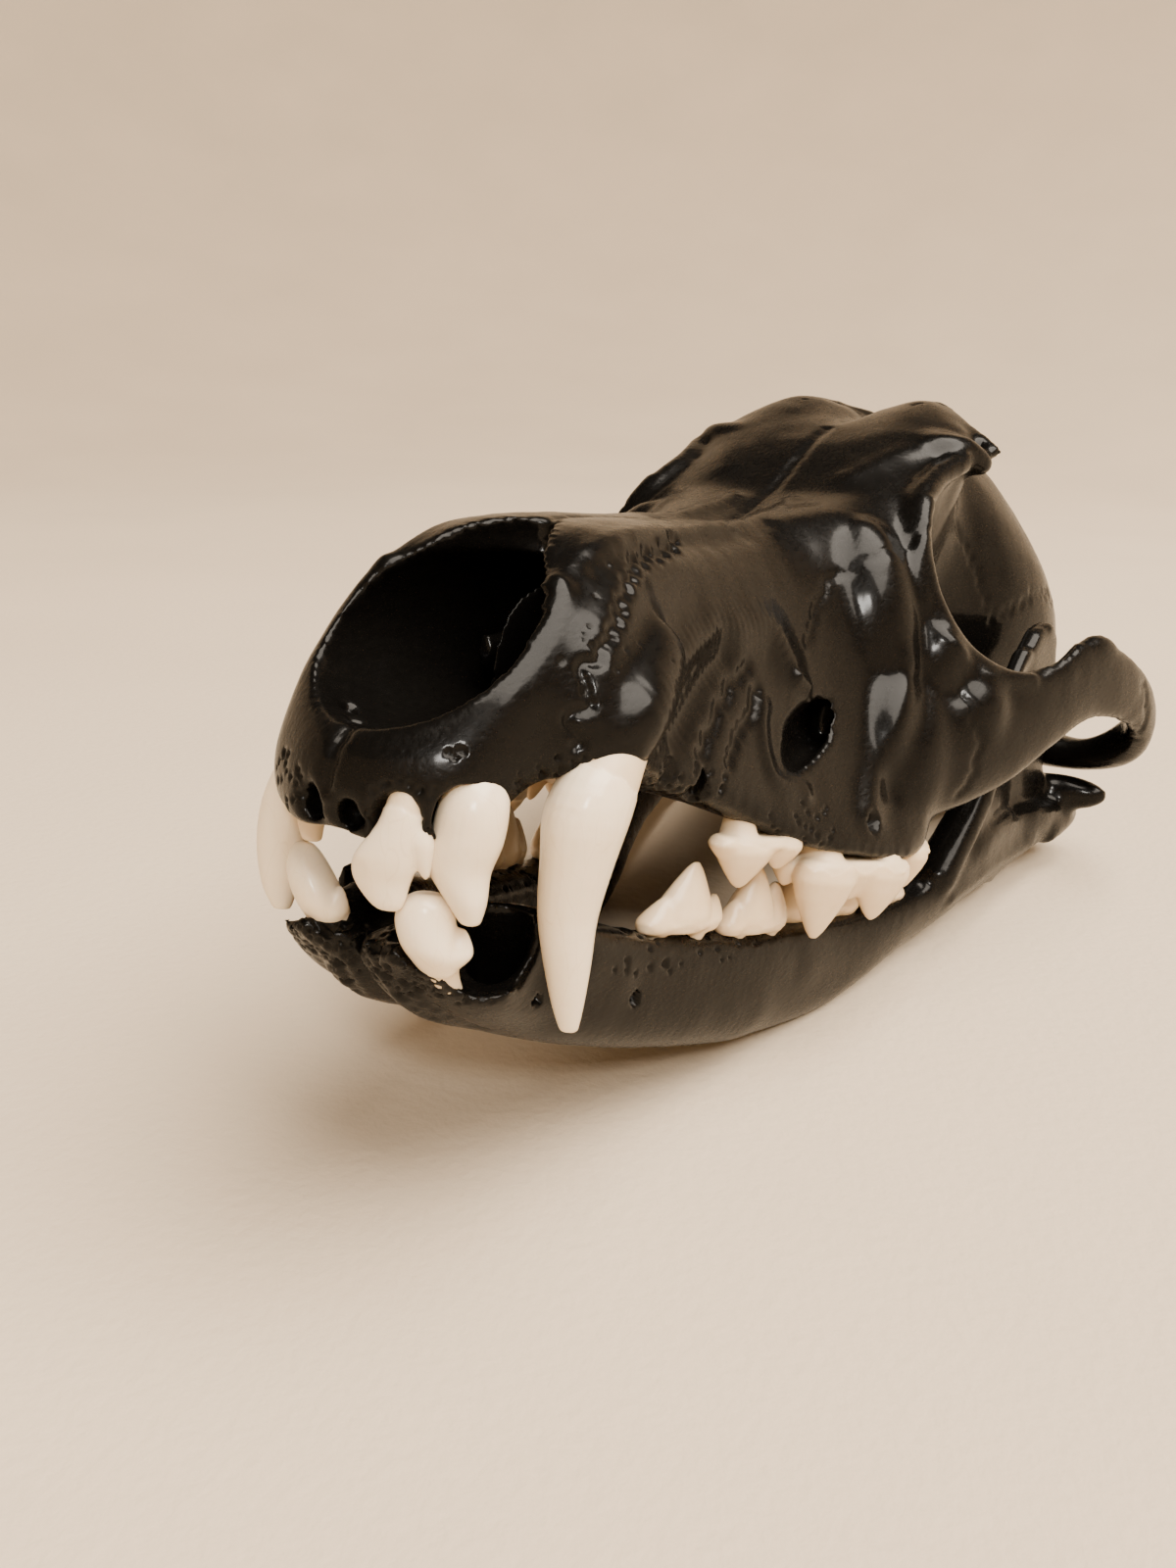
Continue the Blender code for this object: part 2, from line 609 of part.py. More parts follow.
# Front teeth, left side: (stops, heading in degrees, side lobe or None, triangles, sides that still have it)
FRONT_TEETH = {
    "upper_canine": (
        (
            (16.0, 20.6, 9.0, 2.6, 4.0),
            (16.1, 17.6, 5.0, 3.3, 5.1),
            (16.1, 15.8, 0.0, 3.3, 4.9),
            (16.0, 15.8, -6.0, 2.8, 3.9),
            (15.8, 16.7, -12.0, 2.1, 2.8),
            (15.5, 18.2, -17.0, 1.4, 1.7),
            (15.3, 19.2, -19.6, 0.7, 0.8),
        ),
        14, None, 300, (1,),
    ),
    "upper_incisor_3": (
        (
            (7.8, 9.6, 7.6, 1.4, 2.0),
            (9.2, 7.8, 4.0, 2.2, 2.8),
            (10.2, 6.5, 0.6, 2.7, 3.3),
            (10.4, 6.4, -3.4, 2.1, 2.6),
            (10.3, 7.0, -7.0, 1.4, 1.8),
            (10.2, 7.7, -9.3, 0.7, 0.9),
        ),
        40, None, 180, (1, -1),
    ),
    "upper_incisor_2": (
        (
            (4.9, 5.0, 6.0, 1.4, 1.3),
            (5.2, 2.9, 2.2, 1.9, 1.6),
            (5.6, 1.9, -1.4, 2.5, 1.8),
            (5.8, 1.8, -4.6, 2.3, 1.4),
            (5.9, 2.2, -7.0, 1.2, 0.8),
            (5.9, 2.3, -7.8, 0.6, 0.5),
        ),
        26, ((7.6, 3.4, -1.0), (8.6, 4.6, -4.8), 1.2, 1.1), 180, (1,),
    ),
    "lower_incisor_3": (
        (
            (6.4, 10.6, -16.4, 1.4, 1.7),
            (7.0, 7.8, -13.8, 1.9, 2.3),
            (7.6, 5.8, -11.0, 2.3, 2.6),
            (7.8, 5.2, -8.4, 2.0, 2.0),
            (7.7, 5.3, -6.6, 1.0, 1.0),
        ),
        40, ((8.5, 6.3, -12.2), (9.0, 6.4, -10.4), 0.9, 1.0), 160, (1, -1),
    ),
}

# Cheek teeth, left side: centre (x, y), length, width, gum z, heading in degrees, triangles, then the cusps as
# (along, across, height, half length, half width) and the roots as (along, across, depth, radius)
CHEEK_TEETH = {
    "upper_premolar_3": (
        (20.0, 49.4), 12.4, 4.6, -0.6, 20, 150,
        ((-0.06, 0, -7.6, 4.0, 2.3), (0.3, 0, -4.2, 2.4, 1.9), (-0.36, 0, -3.2, 2.0, 1.7), (0, 0, -2.4, 5.6, 2.2)),
        ((-0.3, 0, 4.0, 1.8), (0.3, 0, 4.0, 1.8)),
    ),
    "upper_premolar_4": (
        (25.6, 65.6), 19.0, 7.4, -3.2, 20, 220,
        ((-0.16, 0.1, -11.4, 4.8, 2.9), (0.3, 0.05, -6.8, 4.6, 2.3), (-0.38, -0.42, -4.0, 2.2, 2.0), (0, 0, -3.0, 8.4, 2.7)),
        ((-0.3, 0.2, 4.0, 2.2), (0.32, 0.1, 4.0, 2.4), (-0.34, -0.45, 4.0, 1.6)),
    ),
    "upper_molar_1": (
        (25.8, 80.6), 11.0, 13.6, -4.2, -8, 200,
        ((-0.22, 0.26, -5.4, 2.8, 2.6), (0.24, 0.24, -4.8, 2.6, 2.5), (0.0, -0.2, -3.2, 3.4, 3.6), (0, 0.1, -2.2, 4.6, 5.6)),
        ((-0.24, 0.26, 4.0, 2.0), (0.24, 0.26, 4.0, 1.9), (0, -0.3, 4.0, 2.4)),
    ),
    "upper_molar_2": (
        (22.8, 89.8), 6.4, 9.0, -3.0, -16, 120,
        ((-0.16, 0.24, -3.6, 1.8, 1.9), (0.2, 0.2, -3.2, 1.7, 1.9), (0, -0.2, -2.6, 2.4, 2.8)),
        ((-0.1, 0.26, 3.0, 1.5), (0, -0.24, 3.0, 1.6)),
    ),
    "lower_premolar_3": (
        (15.8, 44.8), 11.0, 4.4, -14.2, 14, 140,
        ((-0.1, 0, 7.6, 3.4, 2.1), (0.3, 0, 3.4, 2.0, 1.7), (0, 0, 2.4, 4.9, 2.0)),
        ((-0.28, 0, -4.0, 1.6), (0.28, 0, -4.0, 1.7)),
    ),
    "lower_premolar_4": (
        (18.6, 57.2), 12.0, 5.0, -14.9, 14, 150,
        ((-0.12, 0, 7.8, 3.6, 2.3), (0.22, 0, 5.2, 2.4, 2.0), (0.4, 0, 3.0, 1.6, 1.7), (0, 0, 2.6, 5.4, 2.2)),
        ((-0.28, 0, -4.0, 1.8), (0.28, 0, -4.0, 1.9)),
    ),
    "lower_molar_1": (
        (19.6, 74.2), 20.4, 6.4, -15.0, 14, 220,
        ((-0.3, 0.05, 6.6, 3.8, 2.2), (-0.06, 0.05, 9.6, 4.2, 2.4), (0.1, -0.3, 5.4, 1.6, 1.3), (0.3, 0, 3.8, 3.6, 2.4), (0, 0, 3.0, 9.0, 2.6)),
        ((-0.26, 0, -4.0, 2.4), (0.28, 0, -4.0, 2.4)),
    ),
    "lower_molar_2": (
        (24.2, 90.2), 8.4, 5.6, -13.8, 14, 110,
        ((-0.2, 0.1, 4.0, 2.3, 2.0), (0.24, 0, 3.0, 2.4, 2.1), (0, 0, 2.2, 3.6, 2.2)),
        ((-0.2, 0, -3.0, 1.7), (0.22, 0, -3.0, 1.6)),
    ),
}


def cheek_tooth(side, centre, length, width, gum, heading, cusps, roots):
    """The parts of a cheek tooth. Heights and depths are signed, down for an upper crown."""
    turn = math.radians(heading)
    along_jaw = Vector((math.sin(turn), math.cos(turn), 0))
    outward = Vector((math.cos(turn), -math.sin(turn), 0))
    middle = Vector((*centre, gum))

    def place(along, across, z):
        point = middle + along_jaw * (along * length) + outward * (across * width)
        return Vector((side * point.x, point.y, gum + z))

    parts = []
    for along, across, height, half_length, half_width in cusps:
        rows = cusp(place(along, across, 0), place(along + CUSP_LEAN, across, height), half_width, half_length)
        parts.append((rows, -side * heading))
    for along, across, depth, radius in roots:
        parts.append((root(place(along, across, -0.12 * depth), place(along, across, depth), radius, radius), 0))
    return parts


CUSP_LEAN = 0.03


def make_teeth():
    """Every tooth that the skull still has, as lists by the bone that holds it."""
    made = {"cranium": [], "mandible_left": [], "mandible_right": []}
    for side, word in ((1, "left"), (-1, "right")):
        homes = {"upper": "cranium", "lower": f"mandible_{word}"}
        for key, (centre, length, width, gum, heading, triangles, cusps, roots) in CHEEK_TEETH.items():
            parts = cheek_tooth(side, centre, length, width, gum, heading, cusps, roots)
            made[homes[key[:5]]].append(tooth(key, parts, triangles))
        for key, (stops, heading, lobe, triangles, kept) in FRONT_TEETH.items():
            if side not in kept:
                continue
            parts = [curved(stops, side, heading)]
            if lobe:
                (x, y, z), (tip_x, tip_y, tip_z), across, along = lobe
                parts.append((cusp((side * x, y, z), (side * tip_x, tip_y, tip_z), across, along), side * heading))
            made[homes[key[:5]]].append(tooth(key, parts, triangles))
    return made


# Empty sockets: (x, y, rim z, lean x, lean y, depth, half width, half length); upper ones run up, lower ones down
UPPER_SOCKETS = (
    (2.0, 2.0, 1.4, 0.5, 3.4, 6.0, 1.5, 1.4),
    (-2.0, 2.0, 1.4, -0.5, 3.4, 6.0, 1.5, 1.4),
    (-5.6, 3.6, 2.2, 0.5, 3.6, 6.0, 1.7, 1.6),
    (-15.4, 16.6, 4.0, 0.3, 6.0, 11.0, 2.8, 4.4),
    (17.0, 30.0, 2.4, -0.4, 0.6, 4.0, 1.3, 1.5),
    (17.0, 36.2, 1.6, -0.4, 0.6, 4.0, 1.4, 1.5),
)
LOWER_SOCKETS = (
    (9.4, 13.4, -10.8, -2.4, 5.0, -10.0, 3.6, 4.4),
    (2.3, 5.6, -11.4, 0.0, 4.0, -3.6, 0.9, 1.1),
    (4.5, 6.0, -11.4, 0.0, 4.0, -3.6, 0.9, 1.1),
    (11.0, 27.0, -12.4, 0.0, 1.0, -4.0, 1.2, 1.3),
    (12.0, 33.0, -13.0, 0.0, 0.6, -5.0, 1.5, 1.5),
    (13.0, 37.4, -13.6, 0.0, 0.6, -5.0, 1.5, 1.5),
)


def socket(x, y, z, lean_x, lean_y, depth, across, along):
    """A blind tapered hole that starts clear of the bone."""
    start = Vector((x - 0.3 * lean_x, y - 0.3 * lean_y, z - 3.0 * math.copysign(1.0, depth)))
    middle = Vector((x, y, z))
    end = Vector((x + lean_x, y + lean_y, z + depth))
    return stack("socket", [(p, across * t, along * t) for p, t in ((start, 1.05), (middle, 1.0), (end, 0.55))], 0, 12)


def join(obj, others):
    """One union over a collection of closed bodies."""
    group = bpy.data.collections.new("joined")
    for other in others:
        group.objects.link(other)
    union = obj.modifiers.new("union", "BOOLEAN")
    union.operation = "UNION"
    union.solver = "EXACT"
    union.operand_type = "COLLECTION"
    union.collection = group
    apply_modifiers(obj)
    for other in others:
        bpy.data.objects.remove(other)
    bpy.data.collections.remove(group)
    return largest_shell(obj)


def copy_of(obj, name):
    return new_object(name, obj.data.copy())


def arch_block(side, grown):
    """What the cheek arch on that side is cut out of, grown by the given gap."""
    far_x, back_y, low_z, high_z = 80.0, 170.0, -60.0, 90.0
    front = ARCH_CUT_Y - grown
    plan = []
    for x, y in (
        (ARCH_CUT_X + ARCH_CUT_SLOPE * (front - ARCH_CUT_Y) - grown, front),
        (far_x, front),
        (far_x, back_y),
        (ARCH_CUT_X + ARCH_CUT_SLOPE * (back_y - ARCH_CUT_Y) - grown, back_y),
    ):
        plan.append((side * x, y))
    return object_from_rings("arch_block", [[(x, y, z) for x, y in plan] for z in (low_z, high_z)])


def part_cranium(cranium):
    """The cranium's named parts, a thin cut apart."""
    parts = {}
    for side, word in ((1, "left"), (-1, "right")):
        arch = copy_of(cranium, f"cheek_arch_{word}")
        parts[arch.name] = carve(arch, [arch_block(side, -GAP / 2)], "INTERSECT")
    for name, low, high in (
        ("muzzle", PALATE_CUT_Y - GAP / 2, 400.0),
        ("braincase", -200.0, PALATE_CUT_Y + GAP / 2),
    ):
        piece = copy_of(cranium, name)
        away = block("away", (-200.0, low, -200.0), (200.0, high, 200.0))
        parts[name] = carve(piece, [away, arch_block(1, GAP / 2), arch_block(-1, GAP / 2)])
    bpy.data.objects.remove(cranium)
    return {name: largest_shell(obj) for name, obj in parts.items()}


# Where each node's own origin stands in the skull
ORIGINS = {
    "muzzle": (0.0, 55.0, 16.0),
    "braincase": (0.0, 145.0, 32.0),
    "cheek_arch_left": (44.0, 115.0, 18.0),
    "cheek_arch_right": (-44.0, 115.0, 18.0),
    "mandible_left": (37.0, 147.6, 1.2),
    "mandible_right": (-37.0, 147.6, 1.2),
}


def stand(nodes):
    """Pitches the skull onto its jaw and neck processes, cuts the small flats that it rests on and puts the
    middle of its foot at the origin."""
    pitch = Matrix.Rotation(math.radians(-NOSE_UP), 4, "X")
    low = min((pitch @ v.co).z for obj in nodes.values() for v in obj.data.vertices)
    floor = low + REST_FLAT * MM
    below = block("below_floor", (-300.0, -300.0, low / MM - 100.0), (300.0, 600.0, floor / MM))
    bmesh_turn(below, pitch.inverted())
    for obj in nodes.values():
        carve(obj, [copy_of(below, "floor")])
    bpy.data.objects.remove(below)
    corners = [pitch @ v.co for obj in nodes.values() for v in obj.data.vertices]
    middle = [(min(c[i] for c in corners) + max(c[i] for c in corners)) / 2 for i in range(2)]
    pose = Matrix.Translation((-middle[0], -middle[1], -floor)) @ pitch
    skull = bpy.data.objects.new("coyote_skull", None)
    bpy.context.scene.collection.objects.link(skull)
    skull.matrix_world = pose
    for name, obj in nodes.items():
        origin = Vector(ORIGINS[name]) * MM
        obj.data.transform(Matrix.Translation(-origin))
        obj.location = origin
        obj.parent = skull
        obj.name = name
    return pose


def bmesh_turn(obj, matrix):
    obj.data.transform(matrix)
    obj.data.update()


def main():
    clear_scene()
    teeth = make_teeth()
    cranium = thin_out(cranium_solid(), CRANIUM_TRIANGLES)
    carve(cranium, [socket(*row) for row in UPPER_SOCKETS])
    nodes = part_cranium(join(cranium, teeth["cranium"]))
    for side, word in ((1, "left"), (-1, "right")):
        jaw = thin_out(jaw_half(side), JAW_TRIANGLES)
        empty = [socket(side * r[0], r[1], r[2], side * r[3], *r[4:]) for r in LOWER_SOCKETS]
        carve(jaw, [middle_block(side), *empty])
        name = f"mandible_{word}"
        nodes[name] = join(jaw, teeth[name])
    pose = stand(nodes)
    for name, obj in nodes.items():
        obj.data.materials.clear()
        obj.data.materials.append(material(f"black_bone_{name}", BONE_BLACK, 0.18))
        obj.data.shade_smooth()
    bpy.context.view_layer.update()
    return pose


POSE = main()
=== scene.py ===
"""A coyote skull with its lower jaw closed, dipped in black gloss paint, with the natural teeth left bare.

Anatomy is written in millimetres in the skull's own frame: X to the animal's left, Y from the front of
the premaxilla towards the back, Z up from the line of the cheek teeth's sockets. The bones are modelled
like clay: rough pieces are fused to one skin, hollows are carved, the skin is made finer and its small
relief is pushed in.
"""

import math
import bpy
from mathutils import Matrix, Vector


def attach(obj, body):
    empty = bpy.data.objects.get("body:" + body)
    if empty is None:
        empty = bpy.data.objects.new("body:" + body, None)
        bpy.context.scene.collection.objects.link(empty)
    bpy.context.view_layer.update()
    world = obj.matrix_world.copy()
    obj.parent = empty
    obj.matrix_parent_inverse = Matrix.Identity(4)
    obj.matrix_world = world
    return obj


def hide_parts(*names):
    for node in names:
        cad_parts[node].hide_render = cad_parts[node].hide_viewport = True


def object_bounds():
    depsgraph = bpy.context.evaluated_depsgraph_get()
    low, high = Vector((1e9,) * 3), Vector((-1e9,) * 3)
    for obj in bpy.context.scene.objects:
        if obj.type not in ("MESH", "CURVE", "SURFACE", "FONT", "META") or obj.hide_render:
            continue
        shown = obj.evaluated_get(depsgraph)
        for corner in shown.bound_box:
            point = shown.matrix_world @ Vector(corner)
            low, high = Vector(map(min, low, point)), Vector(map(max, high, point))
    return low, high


bl_info = {
    "name": "Coyote Skull",
    "version": (1, 0, 0),
    "blender": (4, 5, 0),
    "location": "View3D > Sidebar > Skull",
    "description": "Builds a black painted coyote skull with natural teeth and the stage that it stands on",
    "category": "Object",
}

import bmesh
import bpy
import numpy as np
from bpy.props import FloatProperty, FloatVectorProperty, PointerProperty
from bpy.types import Operator, Panel, PropertyGroup
from mathutils import Euler, Matrix, Vector
from mathutils.bvhtree import BVHTree

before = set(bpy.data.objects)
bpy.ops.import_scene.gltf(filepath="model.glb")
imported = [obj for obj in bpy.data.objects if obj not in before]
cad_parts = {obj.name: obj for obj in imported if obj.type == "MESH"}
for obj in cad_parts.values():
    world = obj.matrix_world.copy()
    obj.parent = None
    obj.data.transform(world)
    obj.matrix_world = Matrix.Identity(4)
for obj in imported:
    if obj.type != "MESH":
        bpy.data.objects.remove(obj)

MM = 0.001
CAD_LOW, CAD_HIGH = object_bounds()

# How the skull stands: its pitch in degrees, and where the skull frame's origin lies, in millimetres
NOSE_UP = 14.05
STANDS_AT = (0.0, -100.04, 46.96)
POSE = Matrix.Translation(Vector(STANDS_AT) * MM) @ Matrix.Rotation(math.radians(-NOSE_UP), 4, "X")

GAP = 0.3
RING_POINTS = 40

# Volume, in cubic millimetres, that a cut may be out by
SLACK = 5.0

# How far a crown's cusps reach past its gum and how far its enamel stands out over the root, in millimetres
CROWN_SINK = 0.6
NECK_LEDGE = 0.12

# How far the roots lean in, as a share of the crown's width, and how much of their width they lose to the tip
ROOT_LEAN = 0.22
ROOT_TAPER = 0.62

# Parts of the bones, in millimetres, where the camera is nearest and the mesh is finest
FINEST_CRANIUM = ((-26.0, -10.0, -8.0), (26.0, 62.0, 40.0))
FINEST_JAW = ((-24.0, 0.0, -40.0), (24.0, 60.0, 4.0))

# What every random draw starts from
SEED = 11


# Mesh helpers


def new_object(name, data):
    obj = bpy.data.objects.new(name, data)
    bpy.context.scene.collection.objects.link(obj)
    return obj


def built(name, bm):
    """The mesh under construction, as an object."""
    mesh = bpy.data.meshes.new(name)
    bm.to_mesh(mesh)
    bm.free()
    return new_object(name, mesh)


def under_edit(obj):
    bm = bmesh.new()
    bm.from_mesh(obj.data)
    return bm


def places(mesh):
    """Where the vertices are, one row each, in metres."""
    flat = np.empty(len(mesh.vertices) * 3)
    mesh.vertices.foreach_get("co", flat)
    return flat.reshape(-1, 3)


def normals(mesh):
    flat = np.empty(len(mesh.vertices) * 3)
    mesh.vertex_normals.foreach_get("vector", flat)
    return flat.reshape(-1, 3)


def move_to(mesh, rows):
    mesh.vertices.foreach_set("co", rows.ravel())
    mesh.update()


def keep_mask(mesh, name, values):
    """Keeps one number for each vertex on the mesh, for its finish."""
    mask = mesh.attributes.new(name, "FLOAT", "POINT")
    mask.data.foreach_set("value", values)


def eased(share):
    return share * share * (3.0 - 2.0 * share)


def lengths_along(rows):
    """How far along a path each of its rows lies."""
    return np.concatenate([[0.0], np.cumsum(np.linalg.norm(np.diff(rows, axis=0), axis=1))])


def object_from_rings(name, rings):
    """A closed body through rings of equally many points, with a fan on each end."""
    bm = bmesh.new()
    loops = [[bm.verts.new(Vector(p) * MM) for p in ring] for ring in rings]
    count = len(loops[0])
    for near, far in zip(loops, loops[1:]):
        for i in range(count):
            j = (i + 1) % count
            bm.faces.new((near[i], near[j], far[j], far[i]))
    for loop, flip in ((loops[0], True), (loops[-1], False)):
        middle = bm.verts.new(sum((v.co for v in loop), Vector()) / count)
        for i in range(count):
            a, b = loop[i], loop[(i + 1) % count]
            bm.faces.new((b, a, middle) if flip else (a, b, middle))
    bmesh.ops.recalc_face_normals(bm, faces=bm.faces)
    return built(name, bm)


def between(a, b, c, d, t):
    """The Catmull-Rom curve from b to c, at the share t."""
    return 0.5 * (
        2 * b + (c - a) * t + (2 * a - 5 * b + 4 * c - d) * t**2 + (3 * b - a - 3 * c + d) * t**3
    )


def smooth_rows(rows, steps):
    """Catmull-Rom rows between the given rows: each row is a list of numbers."""
    rows = [np.array(r, float) for r in rows]
    padded = [2 * rows[0] - rows[1], *rows, 2 * rows[-1] - rows[-2]]
    out = []
    for i in range(1, len(padded) - 2):
        for k in range(steps):
            out.append(between(*padded[i - 1 : i + 3], k / steps))
    out.append(rows[-1])
    return out


def tube(name, stops, steps=5, around=16):
    """A swept body. Each stop is (x, y, z, across, upright): the two radii stand square to the path, the
    second as near to vertical as the path allows."""
    rows = smooth_rows(stops, steps)
    points = [Vector(r[:3]) for r in rows]
    rings = []
    for i, row in enumerate(rows):
        along = (points[min(i + 1, len(points) - 1)] - points[max(i - 1, 0)]).normalized()
        side = along.cross(Vector((0, 0, 1)))
        side = side.normalized() if side.length > 0.05 else Vector((1, 0, 0))
        upright = side.cross(along).normalized()
        across, tall = max(row[3], 0.15), max(row[4], 0.15)
        rings.append(
            [
                points[i] + side * (across * math.cos(2 * math.pi * k / around))
                + upright * (tall * math.sin(2 * math.pi * k / around))
                for k in range(around)
            ]
        )
    return object_from_rings(name, rings)


def ball(name, centre, radii, turn=(0, 0, 0)):
    bm = bmesh.new()
    bmesh.ops.create_icosphere(bm, subdivisions=4, radius=1.0)
    place = (
        Matrix.Translation(Vector(centre) * MM)
        @ Euler([math.radians(a) for a in turn]).to_matrix().to_4x4()
        @ Matrix.Diagonal((*(r * MM for r in radii), 1.0))
    )
    bmesh.ops.transform(bm, matrix=place, verts=bm.verts)
    return built(name, bm)


def plate(name, outline, x_of_y, thickness):
    """An upright plate from an outline of (y, z) points, standing at x = x_of_y(y)."""
    rings = []
    for side in (-0.5, 0.5):
        rings.append([(x_of_y(y) + side * thickness, y, z) for y, z in outline])
    return object_from_rings(name, rings)


def block(name, low, high):
    bm = bmesh.new()
    bmesh.ops.create_cube(bm, size=1.0)
    low, high = Vector(low) * MM, Vector(high) * MM
    size = high - low
    place = Matrix.Translation((low + high) / 2) @ Matrix.Diagonal((*size, 1.0))
    bmesh.ops.transform(bm, matrix=place, verts=bm.verts)
    return built(name, bm)


def mirrored(obj):
    """A copy on the animal's other side."""
    bm = under_edit(obj)
    bmesh.ops.transform(bm, matrix=Matrix.Diagonal((-1, 1, 1, 1)), verts=bm.verts)
    bmesh.ops.reverse_faces(bm, faces=bm.faces)
    return built(obj.name + "_mirrored", bm)


def both_sides(obj):
    return [obj, mirrored(obj)]


def apply_modifiers(obj):
    bpy.context.view_layer.update()
    graph = bpy.context.evaluated_depsgraph_get()
    mesh = bpy.data.meshes.new_from_object(obj.evaluated_get(graph))
    obj.modifiers.clear()
    obj.data = mesh
    return obj


def finer(obj, voxel, rounds):
    """The same body with an even skin and its edges rounded off."""
    skin = obj.modifiers.new("skin", "REMESH")
    skin.mode = "VOXEL"
    skin.voxel_size = voxel
    blend = obj.modifiers.new("blend", "SMOOTH")
    blend.factor = 0.5
    blend.iterations = rounds
    return apply_modifiers(obj)


def fuse(name, pieces, voxel, rounds):
    """One closed skin over overlapping closed pieces, with their joints blended by smoothing."""
    bm = bmesh.new()
    for piece in pieces:
        bm.from_mesh(piece.data)
        bpy.data.objects.remove(piece)
    return finer(built(name, bm), voxel, rounds)


def measure(obj):
    """(volume in cubic millimetres, whether every edge joins two faces)"""
    bm = under_edit(obj)
    volume = bm.calc_volume() / MM**3
    closed = all(edge.is_manifold for edge in bm.edges)
    bm.free()
    return volume, closed


def carve(obj, cutters, operation="DIFFERENCE"):
    """Cuts the body by the closed cutters, one by one, and removes them."""
    for cutter in cutters:
        before, whole = measure(obj)[0], obj.data
        most = measure(cutter)[0]
        for solver in ("MANIFOLD", "EXACT"):
            cut = obj.modifiers.new("cut", "BOOLEAN")
            cut.operation = operation
            cut.solver = solver
            cut.object = cutter
            apply_modifiers(obj)
            after, closed = measure(obj)
            if closed and -SLACK < before - after < most + SLACK:
                break
            obj.data = whole
        else:
            raise RuntimeError(f"{obj.name} could not be cut by {cutter.name}")
        bpy.data.objects.remove(cutter)
    return obj


def press(obj, centre, reach, push):
    """Moves the skin near the centre by push, fading to nothing at the reach (both in millimetres)."""
    points = places(obj.data) / MM
    far = np.linalg.norm((points - np.array(centre)) / np.array(reach), axis=1)
    points += eased(np.clip(1.0 - far, 0.0, 1.0))[:, None] * np.array(push)
    move_to(obj.data, points * MM)
    return obj


def press_side(obj, side, presses):
    """The given pushes on one side, written for the animal's left."""
    for centre, reach, push in presses:
        press(obj, (side * centre[0], *centre[1:]), reach, (side * push[0], *push[1:]))


def largest_shell(obj):
    """Keeps the largest closed surface and drops loose scraps."""
    bm = under_edit(obj)
    left, shells = set(bm.verts), []
    while left:
        stack, shell = [left.pop()], []
        while stack:
            vert = stack.pop()
            shell.append(vert)
            for edge in vert.link_edges:
                other = edge.other_vert(vert)
                if other in left:
                    left.remove(other)
                    stack.append(other)
        shells.append(shell)
    shells.sort(key=len)
    bmesh.ops.delete(bm, geom=[v for shell in shells[:-1] for v in shell], context="VERTS")
    bm.to_mesh(obj.data)
    bm.free()
    return obj


def finest(obj, low, high):
    """Halves the faces whose middle lies in the box, in millimetres, where the finest relief goes."""
    bm = under_edit(obj)
    low, high = Vector(low) * MM, Vector(high) * MM
    inside = [f for f in bm.faces if all(low[i] < f.calc_center_median()[i] < high[i] for i in range(3))]
    edges = list({edge for face in inside for edge in face.edges})
    bmesh.ops.subdivide_edges(bm, edges=edges, cuts=1, use_grid_fill=True, smooth=0.9)
    bmesh.ops.triangulate(bm, faces=[f for f in bm.faces if len(f.verts) > 4])
    bm.to_mesh(obj.data)
    bm.free()
    return obj


